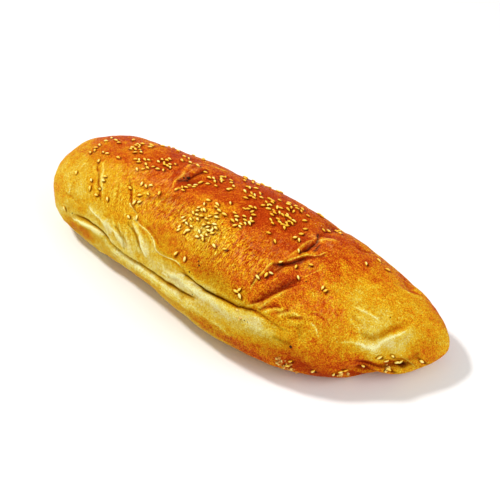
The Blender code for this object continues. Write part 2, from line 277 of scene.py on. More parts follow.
def seam(x, g, points, depth, width):
    """Two rolls of dough that meet in a sharp valley."""
    gap, place, near = along_path(x, g, points, 3.5 * width)
    height = np.zeros(x.shape)
    valley = 0.4 * bell(gap, width) + 0.6 * np.exp(-np.abs(gap) / (0.45 * width))
    height[near] = -depth * valley * fade(place, SHORT_ENDS)
    return height


def lip(x, g, points, height, run, edge=1.0):
    """The crust left of the path stands up at its edge and settles over the run."""
    gap, place, near = along_path(x, g, points, 4.0 * run)
    rise = np.zeros(x.shape)
    settle = np.exp(-np.clip(gap, 0.0, None) / run)
    rise[near] = height * ease(-edge, edge, gap) * settle * fade(place)
    return rise


def dome(x, g, centre, reach, height):
    return height * np.exp(-((x - centre[0]) / reach[0]) ** 2 - ((g - centre[1]) / reach[1]) ** 2)


print("kinds of mark:", [kind.__name__ for kind in (crease, seam, ridge, lip, dome)])

# %% [markdown]
# ## Random hills and a net of lines
#
# Nothing in dough is even. Random heights on a coarse grid, joined smoothly,
# give hills of any size, and numpy's fixed seeds make them the same on each
# run. Where such hills cross zero they draw a net of thin lines, as on old
# leather, and that is how the dried skin of the front side looks.

# %% Make random hills
HILL_GRID = 64
GRID_SHIFT_X, GRID_SHIFT_G = 200.3, 200.7
VEIN_WIDTH = 0.15


def unevenness(x, g, size_x, size_g, seed):
    """Smooth random hills between -1 and 1, about as long and wide as the two sizes."""
    heights = np.random.default_rng(seed).uniform(-1.0, 1.0, (HILL_GRID, HILL_GRID))
    across, over = x / size_x + GRID_SHIFT_X, g / size_g + GRID_SHIFT_G
    column, row = np.floor(across).astype(int), np.floor(over).astype(int)
    u, v = ease(0.0, 1.0, across - column), ease(0.0, 1.0, over - row)
    column, row = column % (HILL_GRID - 1), row % (HILL_GRID - 1)
    near_side = heights[column, row] * (1.0 - u) + heights[column + 1, row] * u
    far_side = heights[column, row + 1] * (1.0 - u) + heights[column + 1, row + 1] * u
    return near_side * (1.0 - v) + far_side * v


def veins(x, g, size_x, size_g, seed):
    """1 on the lines of a net and 0 between them: where random hills cross zero."""
    coarse = unevenness(x, g, size_x, size_g, seed)
    finer = unevenness(x, g, size_x / 2.1, size_g / 2.1, seed + 50)
    return bell(coarse + 0.5 * finer, VEIN_WIDTH)


hill_sample = unevenness(np.arange(50.0), np.zeros(50), 9.0, 8.0, 3)
print("hills from", round(float(hill_sample.min()), 2), "to", round(float(hill_sample.max()), 2))

# %% [markdown]
# ## The large marks of this loaf
#
# The large marks follow those of the solid model: the long split at the foot
# of the front side, the crust folded over its pale ledge, the fold that
# crosses the loaf, and the tucks at the tip. A few are a little softer here,
# or moved by a millimetre or two, to sit where the real crust has them. Each
# line gives the kind, its path or its centre, and then its height or depth
# and its widths in millimetres.

# %% List the large marks
LARGE_MARKS = (
    # the long split along the foot of the front side, and the roll below it
    (seam, ((-100, -54.5), (-85, -56), (-70, -57.5), (-62, -61), (-52, -65), (-38, -65.5), (-16, -66),
            (8, -66), (22, -61)), 2.4, 2.2),
    (ridge, ((-50, -71), (-20, -72), (10, -72), (60, -67)), 1.0, 4.5),
    (ridge, ((-98, -58.5), (-77, -59.5), (-60, -63)), 1.0, 1.6),
    (dome, (-52, -84), (36.0, 14.0), -1.6),
    # the upper crust folded over the pale ledge
    (seam, ((2, -53), (14, -54.3), (23, -54.6), (33, -53.3), (44, -51.5), (55, -47.6), (66, -46.5)),
            2.2, 2.0),
    (lip, ((-30, -43), (-18, -48.5), (0, -49.5), (12, -52.5), (23, -53), (33, -51.6), (44, -49.8),
           (56, -46)), 1.2, 7.0),
    (ridge, ((-20, -57), (10, -58), (50, -55.5), (82, -51)), 0.8, 3.0),
    # straps of soft crust above the split
    (ridge, ((-45, -38), (-38, -43.5), (-31, -49), (-22, -57)), 0.9, 2.0),
    (crease, ((-46, -40), (-41, -43.5), (-34, -49), (-25, -58)), 0.9, 1.1),
    (crease, ((-34, -38.5), (-27, -40.5), (-20, -45), (-12, -46.5)), 0.7, 1.4),
    (ridge, ((-84, -43), (-70, -48), (-58, -51.5), (-49, -54), (-44, -59)), 1.0, 2.2),
    (crease, ((-56, -48.5), (-48, -52), (-43, -56), (-41, -61)), 0.9, 1.3),
    # creases in the blunt half
    (crease, ((-93, -14), (-90, -19.5), (-84, -26), (-79, -31), (-75, -37), (-72, -41)), 0.8, 1.1),
    (lip, ((-72, -41), (-79, -31), (-84, -26), (-93, -14)), 0.6, 8.0),
    (crease, ((-61.5, -19.5), (-58, -23), (-53, -28), (-48, -32), (-39, -37)), 0.7, 1.1),
    # sunken blister on the ridge with a raised rim
    (dome, (-29, 0), (8.5, 8.0), -2.2),
    (ridge, ((-39, 16), (-38, 8), (-35.5, -3), (-31, -13)), 0.8, 1.8),
    (crease, ((-35, -5), (-32.5, 2), (-31, 10), (-28, 19)), 0.7, 2.4),
    # puffed middle
    (dome, (3, -9), (12.0, 10.0), 1.5),
    (dome, (26, -20), (14.0, 16.0), 0.8),
    (crease, ((-16, -22), (-17, -31)), 0.4, 1.2),
    (crease, ((23, -29), (21, -38)), 0.35, 1.2),
    # the fold that crosses the loaf: a thin crest with its valley, and a hollow
    (lip, ((49, -43), (49, -35), (49.3, -27), (50.5, -19.5), (55.5, -13), (58, -8.5), (61, -2),
           (66, 9)), 1.0, 9.0, 0.6),
    (crease, ((66, 5), (61.7, -4), (57.5, -11.5), (54, -17), (52, -24), (51.8, -37)), 1.3, 1.6),
    (ridge, ((54, -13), (54.8, -6), (54, 1), (54.4, 7), (56.5, 16)), 0.8, 1.2),
    (crease, ((57, -5), (57, 4), (58, 9), (57.8, 14)), 1.8, 1.7),
    (crease, ((59, 12), (55.5, 24), (53, 40), (52, 54)), 2.4, 4.5),
    # the second valley, and the golden crust that ends in fingers above it
    (crease, ((70, -16), (65.5, -22), (62.5, -27), (59.5, -32), (56.5, -38), (54, -43), (51, -47)),
              1.7, 2.8),
    (lip, ((71, -17), (69.5, -21), (66, -25.8), (62.3, -31), (59.5, -35), (57.6, -38.5), (56.5, -41.5),
           (54, -45), (50, -48.3)), 1.3, 7.0, 0.8),
    (ridge, ((60, -45.5), (61.5, -43), (63.5, -40.8), (66, -38.8), (70, -36)), 0.7, 1.8),
    (ridge, ((65, -44.5), (67, -42.4), (69, -39.3), (72, -37), (78, -36)), 0.6, 1.9),
    (ridge, ((70, -44), (73, -42), (77, -39.5), (82, -37)), 0.45, 2.0),
    (crease, ((56.8, -46), (58.8, -42.4), (61.3, -40), (64, -38), (68, -36)), 0.9, 1.2),
    (crease, ((64.5, -43), (66.5, -41), (69, -37.8), (72.5, -35.2)), 0.5, 1.0),
    (crease, ((71, -41), (73.5, -39.3), (76, -37.9), (80, -36.2)), 0.6, 1.2),
    # lobes and tucks of the tapered tip
    (dome, (84, -30), (16.0, 12.0), 1.0),
    (dome, (88, -52), (18.0, 9.0), 0.7),
    (crease, ((104, -28), (112.5, -25), (117, -17), (120.5, -9), (122, -2)), 1.5, 3.0),
    (ridge, ((99, -36.5), (104, -33), (111, -31), (117, -21.5), (121.5, -13), (124, -4)), 1.3, 2.6),
    (crease, ((108, -42), (117, -39), (125, -31), (131, -22)), 2.6, 2.4),
    (crease, ((100, 40), (106, 27), (110, 14)), 2.0, 4.5),
    (crease, ((104, -66), (110, -54), (117, -44)), 2.2, 3.6),
    (dome, (113, -54), (10.0, 11.0), -3.8),
    # the back: a long split and folds like those in front
    (seam, ((-92, 55), (-50, 60), (-5, 62), (40, 61), (84, 54)), 2.4, 2.4),
    (ridge, ((-60, 66), (0, 69), (60, 66)), 1.2, 4.5),
    (lip, ((60, 50), (20, 54), (-20, 52), (-60, 48)), 1.0, 8.0),
    (crease, ((-70, 18), (-76, 28), (-82, 40)), 1.1, 1.6),
    (crease, ((6, 26), (2, 38), (-6, 47)), 0.8, 1.6),
    (dome, (24, 32), (16.0, 14.0), 1.0),
    (dome, (-40, 38), (16.0, 13.0), 0.9),
    (crease, ((72, 24), (78, 36), (76, 48)), 1.2, 2.2),
)
print(len(LARGE_MARKS), "large marks")

# %% [markdown]
# ## Wrinkles
#
# The second list holds what is too fine for the solid model. Two kinds repeat
# all along the front side, and a loop with a seeded draw writes them: thin
# wrinkles round the girth, where the dough was stretched, and soft slanting
# folds above the split.

# %% List the fine wrinkles
FINE_MARKS = [
    (ridge, ((59, 17), (62, 18), (66, 19.5)), 0.5, 1.4),
    (crease, ((57, 14), (55.5, 17), (54, 23)), 0.8, 1.0),
    (ridge, ((58, -24), (55.5, -28), (54, -35)), 0.3, 1.0),
    (crease, ((78, -34), (84, -31), (94, -33)), 0.4, 1.0),
    # blunt half
    (ridge, ((-90, -12), (-86, -18), (-80, -26), (-74, -34)), 0.25, 1.2),
    (ridge, ((-59, -18), (-51, -26), (-45, -31), (-37, -34)), 0.25, 1.2),
    (crease, ((-70, -22), (-64, -30), (-60, -40)), 0.4, 1.2),
    (crease, ((-112, -40), (-98, -44), (-84, -45)), 0.4, 1.4),
    (ridge, ((-10, -59.5), (-2, -58), (6, -56.2)), 0.5, 1.4),
    # little wrinkles where the ledge slips under the crust
    (ridge, ((13, -55.8), (19, -56.2), (24, -57.3)), 0.3, 0.8),
    (ridge, ((10, -57.6), (17, -58), (22, -59)), 0.3, 0.8),
    # rim of the sunken blister
    (ridge, ((-36, -7), (-28, -9), (-21, -4), (-19, 4), (-23, 9)), 0.5, 1.2),
    (crease, ((-33, 4), (-29, 0), (-24, 1)), 0.6, 1.4),
    # pale tip
    (ridge, ((96, -16), (103, -14.5), (110, -15)), 0.4, 1.1),
    (crease, ((96, -20), (104, -22), (110, -19)), 0.4, 1.2),
    (crease, ((124, -31), (129, -23), (133, -15)), 0.6, 1.6),
]
STRETCH_WRINKLES, WRINKLES_FROM, WRINKLE_STEP = 26, -34.0, 3.2
SLANTING_FOLDS, FOLDS_FROM, FOLD_STEP = 16, -66.0, 4.0
wrinkle_draw = random.Random(52)
for number in range(STRETCH_WRINKLES):
    x = WRINKLES_FROM + WRINKLE_STEP * number + wrinkle_draw.uniform(-1.0, 1.0)
    top = wrinkle_draw.uniform(-12.0, -20.0)
    foot = top - wrinkle_draw.uniform(10.0, 22.0)
    lean = wrinkle_draw.uniform(-3.0, 0.5)
    path = ((x, top), (x + 0.4 * lean, 0.5 * (top + foot)), (x + lean, foot))
    FINE_MARKS.append((crease, path, wrinkle_draw.uniform(0.10, 0.28), 0.9))
for number in range(SLANTING_FOLDS):
    x = FOLDS_FROM + FOLD_STEP * number + wrinkle_draw.uniform(-1.5, 1.5)
    g = wrinkle_draw.uniform(-43.0, -50.0)
    path = ((x, g), (x + 4.5, g - 4.0), (x + 8.0, g - 9.5))
    FINE_MARKS.append((ridge, path, wrinkle_draw.uniform(0.2, 0.45), 1.1))
print(len(FINE_MARKS), "fine wrinkles")

# %% [markdown]
# ## A grid that is dense where the folds are
#
# The crust's mesh is a grid: rows from end to end, and columns round the
# girth. An even grid would spend as many faces underneath as on the folds, so
# the places are drawn from a density. Rows crowd at the ends, where the loaf
# rounds off, and at the fold that crosses it. Columns crowd on the front side
# and the top.

# %% Set out rows and columns
ROWS = 478
COLUMNS = 208
FINE_ANGLES = np.linspace(-math.pi, math.pi, 1441)
TOP_ANGLE = len(FINE_ANGLES) // 2
# extra density, and the place and reach of each crowd
FRONT_CROWD, FRONT_ANGLE, FRONT_REACH = 2.6, -0.75, 0.95
FOLD_CROWD, FOLD_AT, FOLD_REACH = 0.7, 0.42, 0.11
END_CROWDS = ((5.0, 0.035), (60.0, 0.0012))


def crowded(even, density, count):
    """count + 1 places, close together where the density is high."""
    run = np.concatenate([[0.0], np.cumsum((density[1:] + density[:-1]) / 2.0)])
    return np.interp(np.linspace(0.0, run[-1], count + 1), run, even)


def crust_angles(count):
    density = 1.0 + FRONT_CROWD * bell(FINE_ANGLES - FRONT_ANGLE, FRONT_REACH)
    return crowded(FINE_ANGLES, density, count)


def row_places(count):
    even = np.linspace(-1.0, 1.0, 4001)
    density = np.ones(len(even))
    for crowd, reach in END_CROWDS:
        density += crowd * np.exp(-(1.0 - np.abs(even)) / reach)
    density += FOLD_CROWD * bell(even - FOLD_AT, FOLD_REACH)
    return crowded(even, density, count)[1:-1]


def girth_from_top(along, angle):
    """Distance in mm round each section, from its top to each of the angles."""
    rows, columns = np.meshgrid(along, FINE_ANGLES, indexing="ij")
    steps = np.linalg.norm(np.diff(smooth_loaf(rows, columns), axis=1), axis=-1)
    run = np.concatenate([np.zeros((len(along), 1)), np.cumsum(steps, axis=1)], axis=1) * 1000.0
    run = run - run[:, TOP_ANGLE:TOP_ANGLE + 1]
    return np.array([np.interp(angle, FINE_ANGLES, row) for row in run])


along = row_places(ROWS)
angle = crust_angles(COLUMNS)
rows, columns = np.meshgrid(along, angle, indexing="ij")
smooth_points = smooth_loaf(rows, columns)
place_x = smooth_points[..., 0] * 1000.0
place_g = girth_from_top(along, angle)
print("girth at the widest row in mm:", round(float((place_g[:, -1] - place_g[:, 0]).max()), 1))

# %% [markdown]
# ## Where the skin is leathery, lively or stretched
#
# The same dough dries in different ways. The front side and the ends shrank to
# a wrinkled skin, the crown stayed smooth, and rising pulled the middle into
# fine lines. Each of these is a number for every place, from 0 to about 1,
# written as a few smooth steps in millimetres, and the relief or the colours
# use it.

# %% Describe the skin
def leathery_at(x, g):
    """The front side and the ends dried to a wrinkled skin. The crown stayed smooth."""
    front = ease(6.0, 24.0, -g) * (1.0 - 0.5 * ease(68.0, 84.0, -g))
    ends = ease(84.0, 104.0, x) + 0.7 * ease(-84.0, -104.0, x)
    return np.clip(0.15 + 0.75 * front + 0.5 * ends, 0.0, 1.0)


def lively_at(x, g):
    """How rough the skin looks: most on the middle, less on the tip and on the ledge."""
    lengthwise = (0.80 + 0.27 * ease(-75.0, -50.0, x)) * (1.0 - 0.26 * ease(72.0, 92.0, x))
    ledge = 0.33 * ease(42.0, 56.0, -g) * (1.0 - 0.9 * ease(64.0, 74.0, -g))
    smooth_strap = dome(x, g, (-18.0, -40.0), (22.0, 7.0), 0.36)
    smooth_tip = dome(x, g, (120.0, -22.0), (8.0, 10.0), 0.25)
    return lengthwise * (1.0 - ledge) - smooth_strap - smooth_tip


def mottled_at(x, g):
    """How far the skin's colour changes from spot to spot."""
    ends = 0.20 * ease(64.0, 84.0, x) + 0.20 * ease(-78.0, -95.0, x) + 0.30 * ease(60.0, 74.0, -g)
    even_strap = dome(x, g, (-18.0, -40.0), (22.0, 7.0), 0.20)
    by_the_fold = dome(x, g, (68.0, 2.0), (14.0, 12.0), 0.4)
    return 0.85 + ends - even_strap + by_the_fold


def stretched_at(x, g):
    """Where rising dough pulled the crust into fine wrinkles round the girth."""
    middle = dome(x, g, (8.0, -27.0), (44.0, 15.0), 1.0)
    blunt_half = dome(x, g, (-60.0, -30.0), (24.0, 14.0), 0.5)
    return np.clip(middle + blunt_half, 0.0, 1.0)


stretched_share = float((stretched_at(place_x, place_g) > 0.5).mean())
print("share of the points on stretched skin:", round(stretched_share, 2))

# %% [markdown]
# ## The relief
#
# Every point moves along the surface's own outward direction by the height of
# the marks. Two slow waves and two sizes of random hills come first, as hands
# leave them in dough. The marks are read at places that wander by about a
# millimetre, and their depth varies, so that no fold looks drawn. A
# displacement map could do the same in a render, but relief in the mesh is
# still there when the loaf is used elsewhere.

# %% Raise the relief
# share of the length at each end over which the relief dies away
CALM_AT_ENDS = 0.05
# how far the depth of the marks varies, and the depths in mm of the skin's own wrinkles
DEPTH_VARIES = 0.35
STRETCH_DEPTH, LONG_NET_DEPTH, SMALL_NET_DEPTH = 0.16, 0.11, 0.08


def wandering(x, g):
    """Places moved by about a millimetre, because nothing in dough is straight."""
    bent_x = x + 0.8 * unevenness(x, g, 8.0, 7.0, 5) + 0.35 * unevenness(x, g, 3.5, 3.5, 6)
    bent_g = g + 0.8 * unevenness(x, g, 9.0, 8.0, 7) + 0.35 * unevenness(x, g, 3.5, 3.5, 8)
    return bent_x, bent_g


def crust_relief(x, g):
    """Height of the crust over the smooth loaf, in mm: waves and hills, then marks and wrinkles."""
    height = 0.45 * np.sin(x / 13.0 + 0.6) * np.sin(g / 15.0 + 1.1)
    height = height + 0.30 * np.sin(x / 7.5 + g / 11.0) * np.sin(g / 9.0 - x / 21.0)
    height = height + 0.24 * unevenness(x, g, 9.0, 8.0, 3) + 0.13 * unevenness(x, g, 4.0, 3.6, 4)
    bent_x, bent_g = wandering(x, g)
    vigour = 1.0 + DEPTH_VARIES * unevenness(x, g, 6.0, 6.0, 9)
    marks = np.zeros(x.shape)
    for kind, where, *sizes in LARGE_MARKS + tuple(FINE_MARKS):
        marks = marks + kind(bent_x, bent_g, where, *sizes)
    wrinkles = unevenness(bent_x + 0.25 * g, g, 1.9, 13.0, 10) * stretched_at(x, g)
    long_net = veins(bent_x + 0.3 * g, bent_g, 4.6, 8.0, 11)
    small_net = veins(bent_x, bent_g, 2.6, 3.4, 12)
    net = LONG_NET_DEPTH * long_net + SMALL_NET_DEPTH * small_net
    return height + marks * vigour + STRETCH_DEPTH * wrinkles - net * leathery_at(x, g)


def outward_of(points):
    """Unit vectors that point out of a grid whose first and last columns are one."""
    lengthwise = np.gradient(points, axis=0)
    roundwise = np.gradient(points, axis=1)
    roundwise[:, 0] = points[:, 1] - points[:, -2]
    roundwise[:, -1] = roundwise[:, 0]
    outward = np.cross(lengthwise, roundwise)
    return outward / np.linalg.norm(outward, axis=-1, keepdims=True)


relief = crust_relief(place_x, place_g)
calm_ends = ease(0.0, CALM_AT_ENDS, 1.0 - np.abs(rows))
crust_points = smooth_points + outward_of(smooth_points) * (relief * calm_ends / 1000.0)[..., None]
crust_points[..., 2] = np.maximum(crust_points[..., 2] - UNDERSIDE_PRESS, 0.0)
print("relief in mm from", round(float(relief.min()), 2), "to", round(float(relief.max()), 2))

# %% [markdown]
# ## One mesh from the grid
#
# Four neighbouring points make a face, and the last column joins the first
# again. A fan of triangles round one point closes each end, so the mesh has no
# hole anywhere and all faces point outwards.

# %% Join the crust's points into faces
def closed_grid(points, first, last):
    """A mesh of quads from rows of points, closed by a fan at each end."""
    count, around = points.shape[:2]
    verts = np.vstack([points.reshape(-1, 3), [first, last]])
    row = np.arange(count - 1)[:, None] * around
    here, beside = np.arange(around)[None, :], (np.arange(around)[None, :] + 1) % around
    quads = np.stack([row + here, row + around + here, row + around + beside, row + beside], axis=-1)
    faces = quads.reshape(-1, 4).tolist()
    start, stop, last_row = count * around, count * around + 1, (count - 1) * around
    for k in range(around):
        n = (k + 1) % around
        faces.append((start, k, n))
        faces.append((stop, last_row + n, last_row + k))
    mesh = bpy.data.meshes.new("crust")
    mesh.from_pydata(verts.tolist(), [], faces)
    mesh.shade_smooth()
    return mesh


def triangle_count(mesh):
    return sum(len(face.vertices) - 2 for face in mesh.polygons)


blunt_point = smooth_loaf(np.array(-1.0), np.array(0.0))
tip_point = smooth_loaf(np.array(1.0), np.array(0.0))
crust_mesh = closed_grid(crust_points[:, :-1], blunt_point, tip_point)
crust = bpy.data.objects.new("crust", crust_mesh)
bpy.context.scene.collection.objects.link(crust)
print("crust triangles:", triangle_count(crust_mesh))

# %% [markdown]
# ## How pale or brown each place is
#
# Heat browns what faces up and what stands out. The crown is deep brown, the
# front side pales downwards, the dough that opened last along the split is
# nearly cream, and the foot browns again on the tray. One number says it: 0 is
# the darkest brown and 1 the palest cream. The rule itself comes a few cells
# further on, as smooth steps. First come the soft patches that chance added in
# the oven, each with its centre, its reach and its change.

# %% List the baked patches
BAKED_PATCHES = (
    # (place x, g), (reach x, g), change
    # blunt half
    ((-130, -8), (14, 30), 0.05), ((-108, 8), (16, 14), -0.02), ((-92, 4), (12, 10), -0.05),
    ((-80, -20), (12, 10), 0.08), ((-52, -22), (8, 8), 0.06), ((-38, -27), (9, 7), -0.08),
    ((-66, -32), (10, 8), 0.09), ((-66, -46), (14, 7), 0.12), ((-34, -46), (12, 5), 0.10),
    ((-52, -54), (14, 7), 0.08), ((-44, -63), (26, 3), -0.08), ((-90, -50), (8, 4), -0.12),
    ((-97, -63), (16, 6), -0.24), ((-84, -68), (12, 5), -0.24), ((-60, -76), (30, 6), -0.06),
    ((-76, 6), (8, 6), 0.06), ((-30, 6), (7, 6), 0.05),
    # middle
    ((4, -12), (13, 9), 0.10), ((5, -27), (13, 9), 0.14), ((-2, -41), (18, 5), -0.02),
    ((-22, -14), (12, 8), -0.07), ((36, -20), (12, 8), -0.05), ((26, -30), (16, 6), -0.05),
    ((5, -59), (14, 5), 0.10), ((44, -60), (18, 5), 0.12), ((10, -48), (18, 5), -0.06),
    ((38, -77), (36, 7), -0.24),
    # round the folds
    ((60, -27), (6, 9), -0.12), ((60, 16), (5, 4), 0.10), ((60, -52), (10, 5), 0.24),
    ((74, -42), (13, 9), 0.24), ((64, -30), (5, 5), 0.06),
    # tapered end
    ((92, -6), (14, 14), 0.20), ((110, -6), (14, 13), 0.22), ((108, -16), (12, 8), 0.06),
    ((121, -24), (8, 9), -0.06), ((134, 2), (9, 14), 0.12), ((114, 16), (10, 10), 0.12),
    ((100, -28), (8, 4), -0.10), ((92, -24), (9, 5), -0.06), ((112, -28), (8, 4), 0.10),
    ((98, -50), (18, 9), -0.20), ((116, -44), (12, 8), -0.20), ((90, -64), (16, 7), -0.28),
    ((62, -70), (18, 7), -0.16),
    # smaller patches
    ((-126, 0), (10, 8), 0.12), ((-106, -6), (10, 8), 0.08), ((-102, 18), (8, 7), -0.10),
    ((-66, 12), (8, 10), 0.07), ((-60, -12), (9, 6), 0.11), ((-90, -20), (6, 4), -0.10),
    ((-42, 20), (6, 5), -0.10), ((-10, 14), (12, 7), -0.10), ((10, 20), (14, 6), -0.07),
    ((42, 11), (6, 5), -0.10), ((30, 4), (6, 4), -0.10), ((-2, -30), (12, 8), 0.09),
    ((14, -28), (14, 6), 0.08), ((78, -22), (8, 7), 0.10), ((104, -28), (7, 4), -0.12),
    ((-90, -37), (7, 5), 0.16), ((-80, -45), (12, 5), 0.10), ((-42, -44), (7, 4), 0.08),
    ((32, -45), (12, 4), 0.13), ((90, -41), (7, 6), 0.10), ((66, -40), (6, 6), 0.08),
    ((54, -53), (7, 5), 0.12), ((-30, -60), (7, 4), -0.16), ((-102, -67), (8, 5), -0.14),
    ((-126, -40), (8, 8), -0.08), ((42, -68), (8, 5), -0.07), ((0, -85), (30, 5), 0.10),
    ((0, -4), (30, 8), -0.05), ((36, 2), (26, 12), -0.05), ((-50, 4), (10, 6), -0.07),
    ((134, -12), (8, 9), -0.12), ((115, -29.5), (5, 4), 0.12), ((120.5, -22.5), (4.5, 5), 0.20),
    ((124.5, -15), (3.5, 6), 0.22), ((130, -9), (5, 6), 0.14), ((103, 0), (7, 14), -0.14),
    ((103, -13), (6, 6), -0.08), ((113, -5), (6, 6), -0.12), ((113, -18), (4, 4), -0.10),
    ((108, 28), (8, 10), 0.12), ((102, -28), (6, 4), -0.06), ((136, 8), (6, 12), 0.10),
    ((-102, 8), (9, 8), -0.05), ((54, -15), (8, 14), -0.03), ((-60, -52), (30, 6), -0.03),
    ((78, -46), (12, 6), 0.05), ((11, -16), (12, 8), -0.07), ((84, -10), (14, 12), 0.02),
    ((67, -20), (4, 4), 0.05), ((-42, -21), (7, 6), -0.05), ((66, -14), (5, 8), 0.03),
    ((131, -22), (6, 8), -0.10), ((135, -11), (6, 7), -0.06), ((18, -30), (14, 8), -0.05),
    ((-14, -30), (12, 8), -0.04), ((-42, -6), (8, 8), -0.04), ((84, -30), (14, 8), -0.03),
    ((-106, -24), (14, 12), 0.05),
    # the back
    ((20, 24), (60, 12), -0.09), ((-70, 50), (30, 12), 0.12), ((10, 57), (56, 6), 0.34),
    ((90, 34), (20, 16), 0.12),
)
print(len(BAKED_PATCHES), "baked patches")

# %% [markdown]
# ## Light lines
#
# Thin crests are drawn light: the line makes the crust a little paler, and the
# material adds a painted highlight along it. Each line has a path, an amount
# and a width in millimetres, like the marks. They could be painted by hand on
# a texture, but as paths they stay sharp at any distance, and they are easy to
# move together with a fold.

# %% List the pale lines
PALE_LINES = (
    # path, change in paleness, width
    # the thin crest of the fold that crosses the loaf, its upper branches and marks round them
    (((48.4, -40), (48.5, -37), (48.7, -33), (48.5, -29), (48.6, -26), (49.1, -22.5), (50.2, -18.6)),
      0.20, 0.50),
    (((54.2, -13.8), (56, -10.7), (57.4, -8), (58.8, -5), (60.2, -2.8), (62.3, -0.4), (64.2, 2.4),
      (65.2, 5), (66.2, 9)), 0.28, 0.55),
    (((53.4, -12.6), (54.1, -9), (53.8, -5.5), (53.7, -2), (53.7, 2.2), (53.4, 6), (54.2, 8.6),
      (56, 10.5)), 0.15, 1.2),
    (((51.8, -22.8), (53.2, -19.2), (55, -16.2)), 0.12, 0.8),
    (((55, -28.4), (56.4, -24.4)), 0.14, 0.8),
    (((68, -16.4), (69.2, -12.6), (70.2, -9.4), (71.2, -5.6)), 0.18, 0.7),
    (((58.8, 13.4), (59.6, 17.6), (61, 19.6), (64, 21)), 0.32, 1.6),
    (((59.2, 9.2), (59.7, 11.6)), 0.22, 0.7),
    # the edge of the golden crust and the soft folds behind it
    (((50.2, -48), (52.6, -46), (54.8, -44), (57, -40.6)), 0.16, 0.8),
    (((56.2, -45.6), (57.7, -42.4), (58.7, -39.8), (60.5, -36.2), (62.7, -33.6), (63.8, -30.5),
      (66, -27.4)), 0.17, 1.2),
    (((60.2, -44.8), (62.4, -41.8), (64.7, -39.8), (68, -37.8)), 0.16, 1.5),
    (((66.2, -43.2), (68.9, -39.3), (71.7, -37), (74.5, -36.2), (78.5, -36.3)), 0.14, 1.6),
    (((71, -36.6), (73.2, -32.3), (75.6, -29)), 0.12, 1.5),
    (((83, -36), (86.3, -36.8), (88.2, -38.4), (89.8, -40.6)), 0.16, 1.0),
    # straps of soft crust over the split
    (((-46, -37), (-37, -40.3), (-29.8, -41.6), (-25.3, -43.6), (-21.4, -46.3), (-18, -49),
      (-11.4, -49.7), (-5.4, -49), (-1, -48.4), (2.6, -49.9), (6.4, -52.6)), 0.28, 0.7),
    (((-34, -46.4), (-32.6, -47.8), (-30.3, -51.2), (-27.2, -53.6), (-24, -56.6)), 0.26, 0.8),
    (((-44, -41), (-36, -44), (-28, -50), (-21, -54)), 0.14, 3.0),
    (((-84, -43.5), (-70, -48.4), (-58.5, -51.6), (-50, -53), (-46.4, -57.2), (-45, -62)), 0.15, 1.0),
    (((-65, -50), (-62, -51.4), (-56, -55)), 0.18, 2.2),
    (((-100, -58), (-91, -58), (-84, -58.5), (-77.8, -58.4), (-70.8, -59), (-64.5, -60.6)), 0.34, 0.8),
    (((-60, -66), (-20, -68.5), (8, -68)), 0.12, 2.0),
    (((-10, -60.2), (-5.6, -60.4)), 0.26, 0.8),
    (((2, -55.1), (7, -54.3)), 0.22, 0.8),
    (((10, -56.2), (13.4, -55.2), (19, -54.9)), 0.18, 0.6),
    (((10, -58), (17, -58.4), (23, -59.3)), 0.14, 0.7),
    # blunt half and blister
    (((-50.5, -31.8), (-45.4, -34.1), (-39, -37)), 0.22, 0.8),
    (((-37.5, 6), (-35, -2), (-34, -7), (-31, -13)), 0.20, 0.9),
    (((-38.5, 8), (-39.5, 15), (-39, 20), (-35, 23.6), (-28.6, 25.8), (-18.4, 27.8)), 0.30, 0.9),
    (((-29, -12), (-27, -7), (-24.6, -3), (-22, 0.5)), 0.24, 1.0),
    (((-42, 2), (-40.5, -6), (-38, -12)), 0.14, 1.0),
    (((-35, 14), (-31, 17), (-25, 18)), 0.18, 0.8),
    (((-90, -13), (-86, -18), (-80, -26), (-74, -34)), 0.12, 1.2),
    # the tip
    (((99, -36.4), (104, -33), (110.3, -31.3), (114, -28.5), (117.6, -22), (121, -15.6), (124, -9.6)),
      0.16, 1.0),
    (((96, -16), (101, -15.5), (109, -15)), 0.12, 1.0),
    (((126, -25), (129, -25), (131, -28)), 0.14, 0.8),
)
print(len(PALE_LINES), "pale lines")

# %% [markdown]
# ## Dark lines
#
# Slits between two folds are dark brown, because little light gets into them
# and their edges bake most. They are written in the same way, close to the
# paths of the creases and seams that they belong to.

